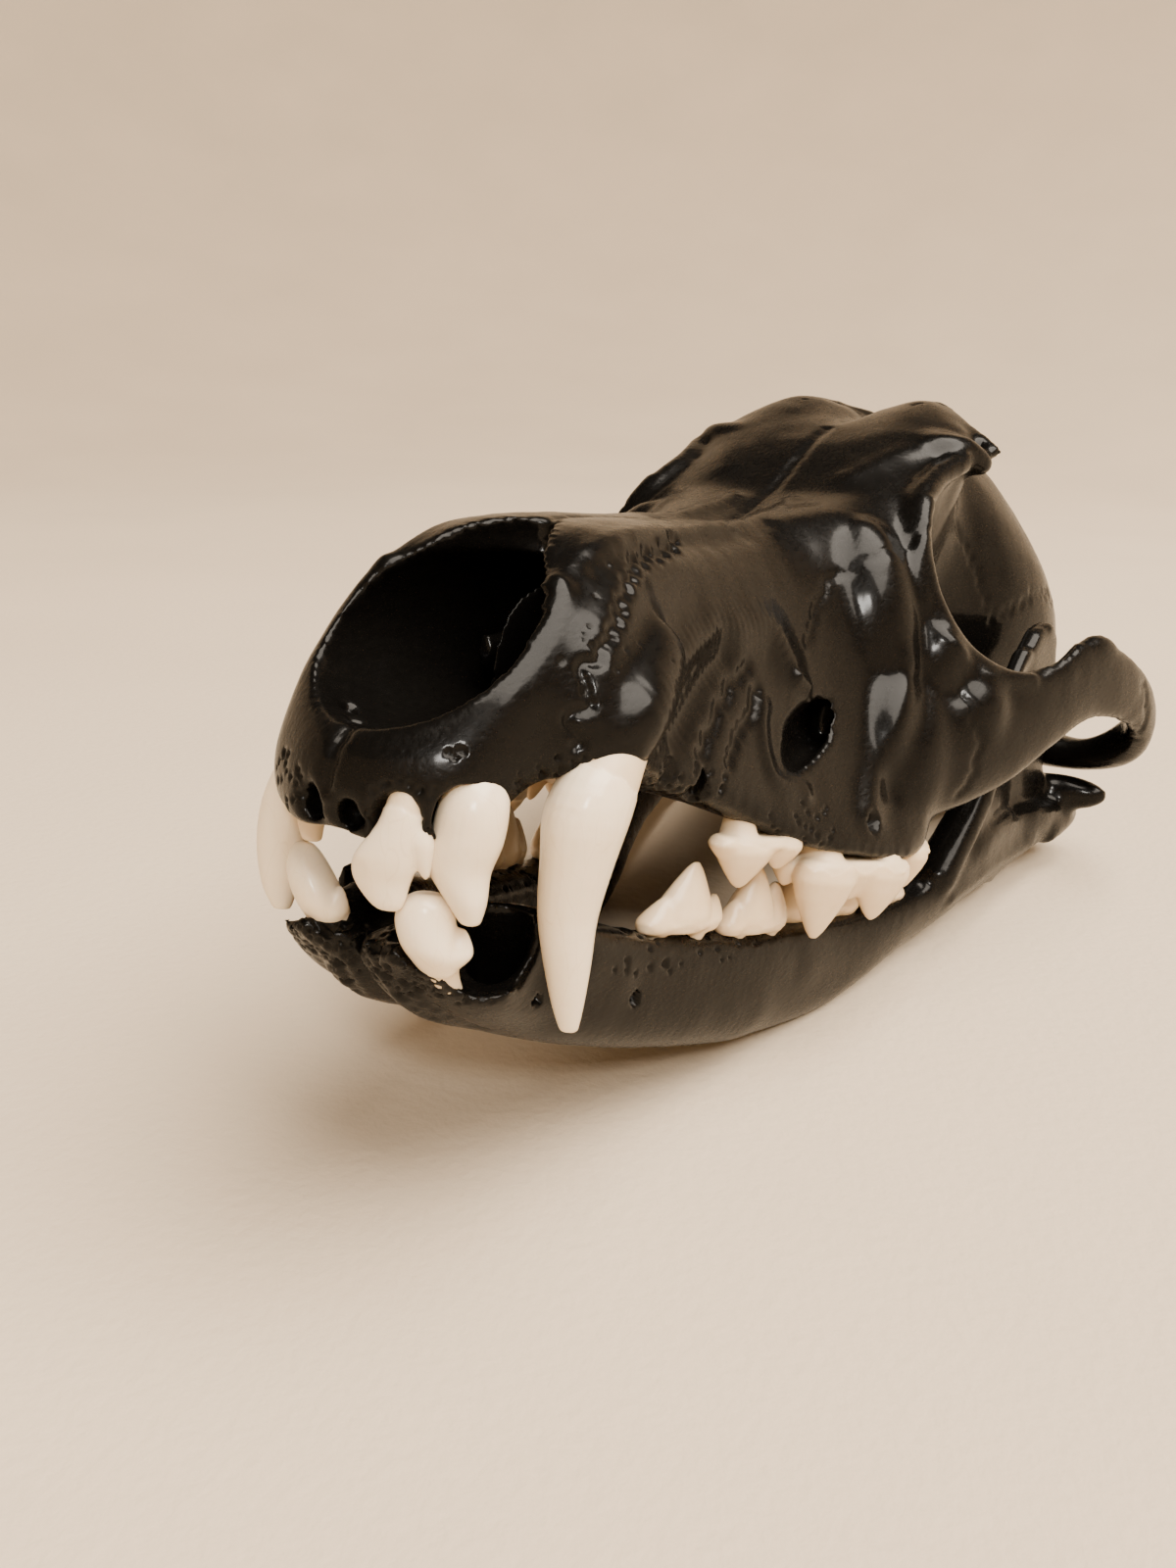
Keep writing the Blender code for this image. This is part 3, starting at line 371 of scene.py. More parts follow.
class Skin:
    """The surface of a bone, in millimetres, that is pushed in and out along its normals."""

    def __init__(self, obj, seed):
        self.points = places(obj.data) / MM
        self.normals = normals(obj.data)
        self.tree = BVHTree.FromObject(obj, bpy.context.evaluated_depsgraph_get())
        self.obj = obj
        self.push = np.zeros(len(self.points))
        self.pores = np.zeros(len(self.points))
        self.chance = np.random.default_rng(seed)

    def lay(self, path, step, jag):
        """Points along a path, laid on the skin, with a random sideways jag."""
        rows = np.array(smooth_rows(path, 12))
        lengths = lengths_along(rows)
        at = np.arange(0.0, lengths[-1], step)
        line = np.stack([np.interp(at, lengths, rows[:, i]) for i in range(3)], axis=1)
        drift = self.chance.uniform(-1.0, 1.0, len(line) + 4)
        sway = jag * np.convolve(drift, (0.25, 0.5, 0.75, 0.5, 0.25), "valid")
        laid = []
        for i, point in enumerate(line):
            place, normal, _, _ = self.tree.find_nearest(Vector(point) * MM)
            along = Vector(line[min(i + 1, len(line) - 1)] - line[max(i - 1, 0)])
            laid.append(place / MM + along.cross(normal).normalized() * sway[i])
        return np.array(laid)

    def near(self, low, high):
        return np.flatnonzero(((self.points > low) & (self.points < high)).all(axis=1))

    def stroke(self, path, width, height, jag=0.0):
        """A ridge along a path, or a groove where the height is negative."""
        line = self.lay(path, max(width * 0.3, 0.3), jag)
        picked = self.near(line.min(axis=0) - 2 * width, line.max(axis=0) + 2 * width)
        points = self.points[picked]
        least = np.full(len(picked), 1e9)
        for spot in line:
            least = np.minimum(least, ((points - spot) ** 2).sum(axis=1))
        self.push[picked] += height * np.exp(-least / (2 * (width / 2) ** 2))

    def pits(self, centre, reach, count, radius, depth):
        """Small pits scattered over the skin within an ellipsoid."""
        inside = (((self.points - np.array(centre)) / np.array(reach)) ** 2).sum(axis=1) < 1.0
        picked = np.flatnonzero(inside)
        if not len(picked):
            raise RuntimeError(f"no skin near {centre} to pit")
        points = self.points[picked]
        for index in self.chance.integers(0, len(picked), count):
            size = radius * self.chance.uniform(0.5, 1.0)
            share = np.clip(1.0 - ((points - points[index]) ** 2).sum(axis=1) / size**2, 0.0, 1.0)
            self.push[picked] -= depth * share**2
            self.pores[picked] = np.maximum(self.pores[picked], share)

    def waves(self, length, height, count=24):
        """A faint unevenness, as bone has."""
        for _ in range(count):
            heading = self.chance.normal(size=3)
            heading *= 2 * math.pi / (length * self.chance.uniform(0.7, 1.6) * np.linalg.norm(heading))
            start = self.chance.uniform(0, 6.28)
            self.push += height / math.sqrt(count) * np.sin(self.points @ heading + start)

    def settle(self):
        """Moves the vertices and keeps the pores' mask for the paint."""
        keep_mask(self.obj.data, "pores", self.pores)
        move_to(self.obj.data, (self.points + self.normals * self.push[:, None]) * MM)
        return self.obj


def keep_inside(obj):
    """Keeps a piece within the solids' box, which also gives the feet their small flats."""
    move_to(obj.data, np.clip(places(obj.data), np.array(CAD_LOW), np.array(CAD_HIGH)))
    return obj


def show(obj, name, finish, nodes):
    """Dresses a piece, stands it in its place and hides the solids it stands for."""
    obj.data.transform(POSE)
    keep_inside(obj)
    obj.name = name
    obj.data.name = name
    obj.data.materials.clear()
    obj.data.materials.append(finish)
    obj.data.shade_smooth()
    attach(obj, "root")
    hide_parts(*nodes)
    return obj


# Cranium: one row for each cross-section, as
# (y, palate z, socket-line x and z, flank x and z, brow x and z, roof z)
CRANIUM_ROWS = (
    (-0.8, 0.6, 1.2, 0.6, 2.0, 2.2, 1.2, 4.2, 4.4),
    (0.6, -2.0, 4.4, -2.2, 5.8, 2.4, 4.0, 6.0, 6.2),
    (3.4, -1.4, 8.4, -2.0, 10.4, 3.4, 7.2, 8.6, 8.2),
    (7.0, 1.0, 10.8, -0.6, 12.4, 5.8, 9.8, 12.6, 11.4),
    (11.5, 2.6, 12.6, 3.8, 14.2, 8.6, 11.2, 17.0, 17.2),
    (16.0, 3.2, 16.0, 5.0, 17.8, 10.0, 10.8, 21.4, 23.0),
    (22.0, 3.2, 16.2, 4.2, 17.4, 11.0, 10.6, 25.0, 26.8),
    (30.0, 3.2, 15.8, 3.0, 15.4, 12.0, 10.2, 26.8, 28.8),
    (42.0, 3.2, 18.2, 0.4, 17.0, 10.0, 9.6, 28.4, 30.6),
    (54.0, 3.2, 22.8, -3.4, 20.4, 6.0, 10.2, 30.0, 32.0),
    (66.0, 3.2, 27.6, -5.0, 24.4, 4.0, 11.6, 31.4, 33.4),
    (76.0, 3.2, 30.0, -5.6, 27.4, 6.0, 14.6, 34.8, 36.2),
    (84.0, 3.4, 28.4, -4.6, 27.0, 13.0, 18.8, 37.4, 40.0),
    (90.0, 3.2, 25.0, -3.6, 22.0, 16.0, 19.6, 40.8, 44.4),
    (97.0, 4.2, 15.5, -1.0, 14.0, 22.0, 18.8, 45.6, 49.6),
    (104.0, 6.0, 10.5, 2.0, 12.4, 24.0, 19.4, 50.4, 53.6),
    (112.0, 8.2, 9.0, 4.5, 13.6, 26.0, 20.0, 54.4, 57.0),
    (119.0, 8.6, 9.0, 5.6, 15.6, 28.0, 16.0, 56.4, 59.4),
    (126.0, 7.6, 10.4, 6.2, 19.6, 29.0, 12.4, 56.2, 60.2),
    (136.0, 6.0, 14.0, 6.8, 26.4, 30.0, 14.6, 54.8, 60.4),
    (147.0, 5.4, 17.4, 7.0, 30.0, 29.5, 16.4, 53.6, 60.2),
    (158.0, 5.0, 19.0, 6.6, 30.2, 28.0, 16.2, 51.8, 59.2),
    (169.0, 4.4, 19.0, 6.0, 27.6, 25.0, 15.6, 47.6, 56.0),
    (178.0, 5.0, 16.6, 7.0, 22.6, 22.0, 13.6, 43.0, 53.0),
    (185.0, 8.0, 11.0, 10.0, 14.0, 20.0, 9.6, 36.0, 47.0),
    (188.5, 12.0, 6.0, 14.0, 8.0, 20.0, 5.0, 32.0, 40.0),
)


def cranium_rings():
    rows = smooth_rows(CRANIUM_ROWS, 5)
    rings = []
    for y, palate, socket_x, socket_z, flank_x, flank_z, brow_x, brow_z, roof in rows:
        half = [(socket_x, socket_z), (flank_x, flank_z), (brow_x, brow_z)]
        corners = [(0.0, palate), *half, (0.0, roof), *[(-x, z) for x, z in reversed(half)]]
        loop = corners[-1:] + corners + corners[:2]
        ring = []
        per = RING_POINTS // len(corners)
        for i in range(1, len(corners) + 1):
            near = [np.array(p) for p in loop[i - 1 : i + 3]]
            for k in range(per):
                x, z = between(*near, k / per)
                ring.append((x, y, z))
        rings.append(ring)
    return rings


# Paths on the animal's left side: (x, y, z, radius across, radius upright)
ORBIT_RIM = (
    (41.0, 104.0, 21.0, 1.8, 1.8),
    (36.5, 95.5, 18.4, 2.0, 2.0),
    (30.6, 88.6, 20.4, 2.4, 2.2),
    (25.6, 85.0, 26.0, 2.6, 2.4),
    (22.4, 84.6, 33.0, 2.4, 2.4),
    (20.4, 88.5, 40.0, 2.2, 2.2),
    (19.8, 96.0, 45.4, 2.0, 2.0),
    (21.6, 104.0, 49.6, 1.8, 1.8),
)
BROW_HORN = (
    (10.0, 104.0, 49.0, 4.0, 3.0),
    (16.0, 106.5, 50.6, 5.6, 3.4),
    (20.6, 108.6, 50.8, 4.0, 2.4),
    (23.8, 110.4, 49.6, 1.6, 1.2),
)
TEMPORAL_LINE = (
    (24.0, 112.0, 52.2, 1.4, 1.2),
    (17.0, 117.0, 56.8, 1.3, 1.3),
    (9.0, 123.5, 60.0, 1.3, 1.3),
    (2.0, 132.0, 61.2, 1.2, 1.4),
)
CREST = (
    (0.0, 126.0, 58.6, 1.2, 2.4),
    (0.0, 145.0, 60.0, 1.1, 3.6),
    (0.0, 165.0, 58.8, 1.1, 4.8),
    (0.0, 182.0, 56.0, 1.2, 5.6),
    (0.0, 192.5, 54.6, 1.6, 3.8),
)
NAPE_CREST = (
    (0.0, 189.0, 52.0, 2.6, 5.4),
    (8.0, 185.5, 49.0, 2.4, 6.4),
    (15.5, 180.0, 42.0, 2.4, 6.4),
    (22.5, 173.5, 32.0, 2.6, 5.8),
    (27.0, 167.5, 20.0, 3.0, 4.6),
    (28.0, 163.0, 12.0, 2.6, 3.0),
)
CHEEK_ARCH = (
    (24.0, 80.0, 5.0, 6.0, 8.0),
    (29.5, 86.0, 8.0, 4.8, 8.4),
    (35.0, 93.5, 11.4, 3.2, 7.6),
    (39.2, 101.0, 15.8, 2.4, 6.6),
    (42.8, 110.0, 20.6, 2.1, 6.4),
    (46.2, 119.5, 20.4, 2.0, 5.2),
    (48.6, 129.0, 18.4, 2.0, 4.4),
    (48.8, 137.0, 14.8, 2.4, 4.0),
    (45.8, 143.5, 10.8, 3.4, 3.4),
    (40.0, 148.0, 8.2, 4.6, 2.8),
    (32.0, 150.5, 8.4, 5.6, 3.4),
    (24.0, 151.0, 11.0, 6.0, 5.0),
)
CANINE_SWELL = ((15.4, 17.5, 7.0, 4.2, 4.4), (15.0, 22.0, 12.0, 4.0, 4.2), (13.0, 29.0, 17.5, 3.2, 3.4))
NOSE_RIM = (
    (0.0, 5.4, 6.6, 1.6, 1.5),
    (5.4, 6.4, 8.2, 1.6, 1.6),
    (9.6, 9.0, 11.6, 1.6, 1.6),
    (11.0, 12.4, 16.0, 1.6, 1.6),
    (9.8, 16.0, 21.6, 1.5, 1.5),
)
PALATE_WING = (
    (8.6, 99.0, 2.6, 1.5, 4.0),
    (8.6, 110.0, 2.6, 1.4, 4.6),
    (8.4, 122.0, 2.2, 1.4, 4.6),
    (8.0, 129.0, -1.6, 1.2, 1.8),
)
NECK_PROCESS = ((22.5, 168.5, 10.0, 4.0, 4.0), (22.0, 171.0, 2.0, 2.8, 3.2), (21.0, 173.0, -5.4, 1.8, 2.0))

# Rounded swellings of the cranium: (centre, radii, turn), on both sides
SWELLINGS = (
    ((24.6, 81.0, 8.0), (7.0, 10.5, 11.5), (0, -12, -24)),
    ((18.6, 80.5, 24.0), (6.4, 7.4, 14.0), (0, -16, 0)),
    ((30.6, 90.0, 13.5), (6.0, 6.5, 7.0), (0, 0, -40)),
    ((26.6, 85.6, 20.0), (4.6, 4.4, 6.0), (0, 0, -30)),
    ((14.6, 160.0, 3.4), (8.6, 12.5, 9.0), (0, 0, -14)),
    ((8.8, 184.5, 10.5), (5.0, 5.0, 7.0), (0, 18, 24)),
    ((43.4, 112.0, 25.0), (2.0, 5.0, 2.6), (0, 0, -20)),
    ((26.0, 156.5, 10.5), (5.4, 8.0, 4.0), (0, 0, 0)),
    ((14.0, 176.0, 26.0), (14.0, 9.0, 18.0), (0, 0, -14)),
)

# Broad pushes of the skin: (centre, reach, push)
PRESSES = (
    ((10.5, 118.0, 59.0), (9.0, 17.0, 12.0), (0, 0, 1.6)),
    ((9.0, 56.0, 31.0), (7.0, 30.0, 9.0), (-0.8, 0, -0.6)),
    ((27.0, 96.0, 6.0), (10.0, 14.0, 12.0), (-1.5, 1.0, 0)),
)
ONE_SIDED_PRESSES = (
    ((0.0, 121.0, 60.0), (4.0, 24.0, 10.0), (0, 0, -2.0)),
    ((0.0, 68.0, 34.0), (5.0, 26.0, 8.0), (0, 0, -0.9)),
)

# Holes: paths with their radii, and the eye socket as (centre, radii)
NOSE_HOLE = (
    (0.0, -2.0, 14.4, 9.4, 7.4),
    (0.0, 9.0, 15.4, 10.4, 8.8),
    (0.0, 18.0, 16.2, 10.2, 9.2),
    (0.0, 36.0, 15.8, 8.0, 8.0),
    (0.0, 58.0, 15.0, 4.0, 5.0),
)
NOSE_NOTCH = (
    (0.0, 6.0, 20.0, 8.4, 5.0),
    (0.0, 16.0, 22.6, 7.0, 5.2),
    (0.0, 23.0, 25.2, 4.2, 4.4),
    (0.0, 28.0, 27.4, 1.4, 2.4),
)
NAPE_HOLE = ((0.0, 198.0, 16.0, 7.4, 6.4), (0.0, 182.0, 17.0, 7.4, 6.4), (0.0, 170.0, 20.0, 5.0, 5.0))
CHEEK_HOLE = ((23.0, 49.5, 8.2, 2.0, 3.7), (20.0, 58.0, 9.0, 2.1, 3.8), (18.5, 70.0, 11.0, 1.8, 3.0))
EYE_SOCKET = ((30.4, 100.5, 33.2), (14.0, 15.4, 14.6))
EAR_HOLE = ((34.0, 162.0, 8.4, 3.4, 3.4), (23.0, 161.0, 7.4, 3.2, 3.2), (19.0, 160.0, 7.4, 1.6, 1.6))


# Lower jaw, left half: (y, x at the rim, x at the foot, rim z, foot z, half thickness)
JAW_ROWS = (
    (3.4, 4.4, 4.2, -11.4, -12.8, 2.8),
    (6.0, 5.6, 4.8, -11.4, -14.6, 4.5),
    (9.0, 6.8, 5.2, -10.0, -17.2, 5.8),
    (13.0, 8.2, 5.4, -8.8, -20.0, 6.4),
    (20.0, 9.6, 5.8, -9.2, -23.0, 5.6),
    (30.0, 11.4, 8.8, -11.8, -25.6, 4.6),
    (40.0, 13.4, 11.4, -13.8, -27.6, 4.3),
    (50.0, 15.6, 13.4, -14.6, -29.2, 4.4),
    (60.0, 17.8, 15.2, -15.2, -30.2, 4.6),
    (75.0, 20.4, 17.8, -15.2, -29.8, 4.8),
    (85.0, 23.0, 20.2, -14.6, -27.0, 4.8),
    (95.0, 26.0, 22.6, -12.6, -23.2, 4.4),
    (105.0, 29.2, 25.8, -8.0, -19.8, 3.9),
    (115.0, 31.6, 28.6, -4.0, -16.2, 3.4),
    (125.0, 33.4, 30.8, -2.0, -13.6, 3.0),
    (140.0, 36.2, 34.4, -0.6, -8.6, 2.6),
    (150.0, 37.8, 37.2, -1.0, -5.0, 2.0),
    (154.6, 38.2, 38.2, -1.4, -2.8, 1.2),
)
CORONOID_THICKNESS = 3.2
CORONOID = (
    (99.0, -14.0),
    (105.0, -5.0),
    (110.0, 5.0),
    (115.0, 15.0),
    (120.0, 22.0),
    (126.0, 27.6),
    (131.5, 29.6),
    (136.0, 27.6),
    (138.0, 22.0),
    (139.0, 14.0),
    (142.0, 6.0),
    (148.0, 2.0),
    (147.0, -5.0),
    (139.0, -9.0),
    (125.0, -14.0),
)


def coronoid_x(y):
    """The plate leans outward towards the back."""
    return 29.4 + (y - 104.0) * 0.1


SYMPHYSIS = (
    (2.6, 5.5, -12.8, 2.8, 2.0),
    (3.6, 12.0, -16.0, 4.0, 4.2),
    (4.2, 22.0, -19.8, 4.6, 3.8),
    (5.4, 32.0, -23.2, 3.6, 2.0),
)
JAW_CONDYLE = (
    (30.0, 147.0, 1.0, 2.6, 2.6),
    (37.0, 147.6, 1.2, 3.4, 3.2),
    (42.4, 147.6, 1.5, 2.6, 2.4),
    (45.2, 147.6, 1.7, 0.8, 0.8),
)
FRONT_EDGE = (
    (28.4, 100.0, -12.0, 3.6, 3.0),
    (31.0, 108.5, 2.0, 2.8, 2.8),
    (31.2, 115.5, 15.0, 2.2, 2.2),
    (31.4, 122.5, 24.0, 1.8, 1.8),
)
ANGLE = (
    (36.6, 142.0, -5.4, 2.4, 3.0),
    (38.2, 150.0, -3.4, 2.2, 2.4),
    (38.6, 154.6, -2.4, 1.5, 1.5),
    (38.8, 156.8, -1.9, 0.5, 0.5),
)


# Where the chewing muscle lay, and where the upper canine passes: (centre, reach, push)
JAW_PRESSES = (
    ((36.0, 124.0, 4.0), (8.0, 18.0, 20.0), (-1.2, 0, 0)),
    ((14.0, 17.2, -13.2), (5.0, 8.0, 7.0), (-1.4, 0, 0)),
)


def middle_block(side):
    """What lies past the middle line, seen from the jaw on that side."""
    low, high = (-30.0, GAP / 2) if side > 0 else (-GAP / 2, 30.0)
    return block("middle", (low, -10.0, -60.0), (high, 60.0, 20.0))


def swap(obj):
    """The mirrored copy in place of the original."""
    other = mirrored(obj)
    bpy.data.objects.remove(obj)
    return other


# Teeth


def cusp(base, tip, across, along):
    """A blunt cone from just past the gum to a rounded tip, fullest low on the crown."""
    base, tip = Vector(base), Vector(tip)
    sunk = -CROWN_SINK / (tip - base).length
    rows = []
    for share, size in ((sunk, 0.8), (0, 0.94), (0.2, 1), (0.45, 0.8), (0.7, 0.52), (0.9, 0.27), (1, 0.1)):
        rows.append((base.lerp(tip, share), across * size, along * size))
    return rows


def stack(name, rows, heading, around=14):
    """A body through ovals: each row is (centre, half width across the jaw, half length along it)."""
    rings = []
    turn = Matrix.Rotation(math.radians(heading), 3, "Z")
    for centre, across, along in rows:
        ring = []
        for k in range(around):
            a = 2 * math.pi * k / around
            ring.append(Vector(centre) + turn @ Vector((across * math.cos(a), along * math.sin(a), 0)))
        rings.append(ring)
    return object_from_rings(name, rings)


def root(top, end, across, along):
    """A tapered root, sunk in the bone."""
    top, end = Vector(top), Vector(end)
    rows = []
    for t in (0, 0.35, 0.7, 1):
        size = 1 - ROOT_TAPER * t
        rows.append((top.lerp(end, t), across * size, along * size))
    return rows


def curved(stops, heading):
    """A tooth's crown and root along stops of (x, y, z, half width, half length)."""
    return [(Vector(r[:3]), r[3], r[4]) for r in smooth_rows(stops, 3)], heading


# Front teeth, as the skull still has them: the stops from the root to the tip, the heading in degrees,
# the side lobes and how far along the neck lies
FRONT_TEETH = {
    "upper_canine_left": (
        (
            (16.2, 20.6, 9.0, 2.6, 4.0),
            (16.0, 17.6, 5.0, 3.5, 5.0),
            (15.8, 16.2, 1.4, 3.8, 5.1),
            (15.6, 16.0, -3.0, 3.2, 4.4),
            (15.3, 16.2, -8.0, 2.65, 3.4),
            (15.6, 16.8, -12.4, 2.15, 2.6),
            (15.9, 17.6, -16.8, 1.4, 1.6),
            (16.1, 18.1, -19.2, 0.8, 0.9),
        ),
        14, (), 5.6,
    ),
    "upper_incisor_3_left": (
        (
            (8.2, 9.4, 7.6, 1.6, 2.2),
            (9.4, 7.6, 4.2, 2.5, 2.9),
            (9.9, 6.8, 1.6, 3.0, 3.2),
            (9.8, 6.6, -1.4, 3.05, 3.1),
            (9.5, 6.4, -4.0, 2.7, 2.6),
            (10.5, 6.6, -6.6, 1.75, 1.9),
            (11.1, 6.8, -8.5, 0.8, 0.9),
        ),
        40, (), 5.2,
    ),
    "upper_incisor_2_left": (
        (
            (5.6, 4.5, 6.0, 1.3, 1.3),
            (6.0, 2.9, 2.2, 1.75, 1.6),
            (5.9, 2.3, -0.6, 1.9, 1.6),
            (5.0, 2.0, -3.6, 2.7, 1.6),
            (4.7, 2.1, -5.6, 2.4, 1.25),
            (5.3, 2.3, -7.4, 1.5, 0.8),
            (5.5, 2.4, -8.0, 0.8, 0.5),
        ),
        26, (((7.2, 2.9, -1.0), (8.2, 3.6, -4.9), 1.3, 1.1),), 5.6,
    ),
    "upper_incisor_3_right": (
        (
            (-9.6, 9.6, 5.0, 1.6, 2.0),
            (-10.8, 8.4, 1.4, 2.2, 2.6),
            (-12.0, 8.0, -2.6, 2.2, 2.6),
            (-12.3, 7.8, -6.6, 1.9, 2.3),
            (-12.0, 7.8, -10.4, 1.4, 1.7),
            (-11.5, 7.9, -12.8, 0.7, 0.8),
        ),
        -40, (), 5.4,
    ),
    "upper_incisor_2_right": (
        (
            (-6.4, 6.6, 4.0, 1.2, 1.2),
            (-7.0, 6.0, 0.0, 1.5, 1.4),
            (-7.2, 5.8, -3.0, 1.4, 1.3),
            (-6.8, 5.8, -5.0, 0.9, 0.9),
        ),
        -26, (), 12.0,
    ),
    "lower_incisor_3_left": (
        (
            (8.0, 9.6, -16.0, 1.3, 1.7),
            (8.1, 7.6, -13.8, 1.7, 1.9),
            (8.2, 6.4, -12.2, 2.3, 2.3),
            (7.9, 5.7, -11.0, 2.5, 2.4),
            (7.4, 5.4, -9.0, 2.6, 2.2),
            (7.4, 5.4, -7.4, 2.2, 1.8),
            (7.5, 5.4, -6.6, 1.2, 1.0),
        ),
        40, (((8.9, 6.8, -12.2), (9.9, 7.4, -9.4), 2.2, 1.9),), 4.0,
    ),
    "lower_incisor_3_right": (
        (
            (-3.8, 9.8, -15.8, 1.3, 1.6),
            (-4.4, 7.8, -13.0, 1.8, 2.0),
            (-5.4, 6.4, -10.4, 2.6, 2.3),
            (-6.6, 5.9, -8.0, 2.4, 2.1),
            (-7.4, 5.8, -6.2, 1.5, 1.4),
            (-7.7, 5.8, -5.4, 0.7, 0.7),
        ),
        -40, (((-4.0, 6.4, -11.4), (-3.2, 6.2, -8.6), 1.5, 1.4),), 3.6,
    ),
}

# Cheek teeth, left side: centre (x, y), length, width, gum z, heading in degrees, lean of the tips, then the
# cusps as (along, across, height, half length, half width) and the roots as (along, across, depth, radius)
CHEEK_TEETH = {
    "upper_premolar_3": (
        (19.9, 49.4), 13.6, 4.8, -2.9, 21, -0.02,
        ((-0.14, 0, -5.4, 4.2, 2.4), (0.3, 0, -3.4, 2.9, 2), (-0.38, 0, -2.2, 2.1, 1.7), (0, 0, -2, 6, 2.2)),
        ((-0.2, -0.08, 5.6, 2.5), (0.28, -0.08, 5.2, 2.5)),
    ),
    "upper_premolar_4": (
        (26.2, 65.6), 19.4, 7.4, -5.8, 21, -0.02,
        (
            (-0.24, 0.02, -9.2, 4.8, 3.0),
            (0.28, 0.08, -7.2, 5.0, 2.5),
            (0.02, 0, -4.6, 8.6, 2.6),
            (-0.4, -0.42, -3.4, 2.3, 2.1),
        ),
        ((-0.26, -0.04, 5.2, 3.3), (0.3, 0, 5.0, 3.3), (-0.36, -0.5, 5.0, 1.6)),
    ),
    "upper_molar_1": (
        (26.4, 81.4), 11.0, 13.4, -4.4, -8, 0.0,
        (
            (-0.22, 0.2, -5.4, 2.8, 2.6),
            (0.24, 0.18, -4.8, 2.6, 2.5),
            (0, -0.24, -3.4, 3.4, 3.4),
            (0, 0, -2.4, 4.8, 5.4),
        ),
        ((-0.24, 0.1, 4.0, 2.0), (0.24, 0.1, 4.0, 1.9), (0, -0.3, 4.0, 2.4)),
    ),
    "upper_molar_2": (
        (22.8, 90.2), 6.4, 9.0, -3.2, -16, 0.0,
        ((-0.16, 0.2, -3.6, 1.8, 1.9), (0.2, 0.16, -3.2, 1.7, 1.9), (0, -0.2, -2.8, 2.4, 2.8)),
        ((-0.1, 0.12, 3.0, 1.5), (0, -0.24, 3.0, 1.6)),
    ),
    "lower_premolar_3": (
        (14.8, 42.4), 12.4, 4.6, -13.2, 18, 0.1,
        ((0.02, 0, 7.2, 4.2, 2.2), (-0.3, 0, 3.4, 2.6, 1.8), (0.34, 0, 3.4, 2.0, 1.8), (0, 0, 2.6, 5.6, 2.1)),
        ((-0.26, 0, -4.0, 1.6), (0.26, 0, -4.0, 1.7)),
    ),
    "lower_premolar_4": (
        (18.3, 56.6), 13.0, 5.2, -14.4, 14, 0.04,
        ((-0.1, 0, 7.4, 4, 2.4), (0.22, 0, 5.2, 2.6, 2.1), (-0.38, 0, 3.4, 2, 1.8), (0, 0, 3, 6, 2.3)),
        ((-0.26, 0, -4.0, 1.8), (0.26, 0, -4.0, 1.9)),
    ),
    "lower_molar_1": (
        (19.6, 74.2), 20.4, 6.4, -14.8, 14, 0.02,
        (
            (-0.3, 0.05, 6.6, 4.0, 2.3),
            (-0.06, 0.05, 9.4, 4.4, 2.5),
            (0.1, -0.3, 5.4, 1.8, 1.4),
            (0.3, 0, 3.8, 3.8, 2.5),
            (0, 0, 3.4, 9.2, 2.7),
        ),
        ((-0.26, 0, -4.0, 2.4), (0.28, 0, -4.0, 2.4)),
    ),
    "lower_molar_2": (
        (24.2, 90.2), 8.4, 5.6, -13.8, 14, 0.02,
        ((-0.2, 0.1, 4.0, 2.4, 2.1), (0.24, 0, 3.0, 2.5, 2.2), (0, 0, 2.4, 3.8, 2.3)),
        ((-0.2, 0, -3.0, 1.7), (0.22, 0, -3.0, 1.6)),
    ),
}


def cheek_tooth(side, centre, length, width, gum, heading, lean, cusps, roots):
    """The parts of a cheek tooth. Heights and depths are signed, down for an upper crown."""
    turn = math.radians(heading)
    along_jaw = Vector((math.sin(turn), math.cos(turn), 0))
    outward = Vector((math.cos(turn), -math.sin(turn), 0))
    middle = Vector((*centre, gum))

    def place(along, across, z):
        point = middle + along_jaw * (along * length) + outward * (across * width)
        return Vector((side * point.x, point.y, gum + z))

    parts = []
    for along, across, height, half_length, half_width in cusps:
        rows = cusp(place(along, across, 0), place(along + lean, across, height), half_width, half_length)
        parts.append((rows, -side * heading))
    for along, across, depth, radius in roots:
        start, end = place(along, across, -0.12 * depth), place(along, across - ROOT_LEAN, depth)
        parts.append((root(start, end, radius, radius), 0))
    return parts


# Broken socket walls at the front, that bare the roots: (centre, radii)
UPPER_BREAKS = (
    ((1.9, -0.8, -0.6), (1.5, 1.7, 1.9)),
    ((-2.4, -0.8, -0.2), (1.8, 1.7, 2.1)),
    ((6.1, 1.0, -0.4), (2.3, 2.4, 2.9)),
    ((10.3, 5.4, 0.8), (3.1, 3.2, 3.0)),
    ((17.6, 15.8, 2.0), (4.4, 5.6, 3.4)),
)
LOWER_BREAKS = (
    ((10.4, 11.4, -11.4), (4.2, 5.6, 4.6)),
    ((8.2, 5.0, -11.2), (2.5, 2.6, 2.2)),
    ((3.0, 3.4, -11.6), (1.6, 1.8, 1.6)),
)

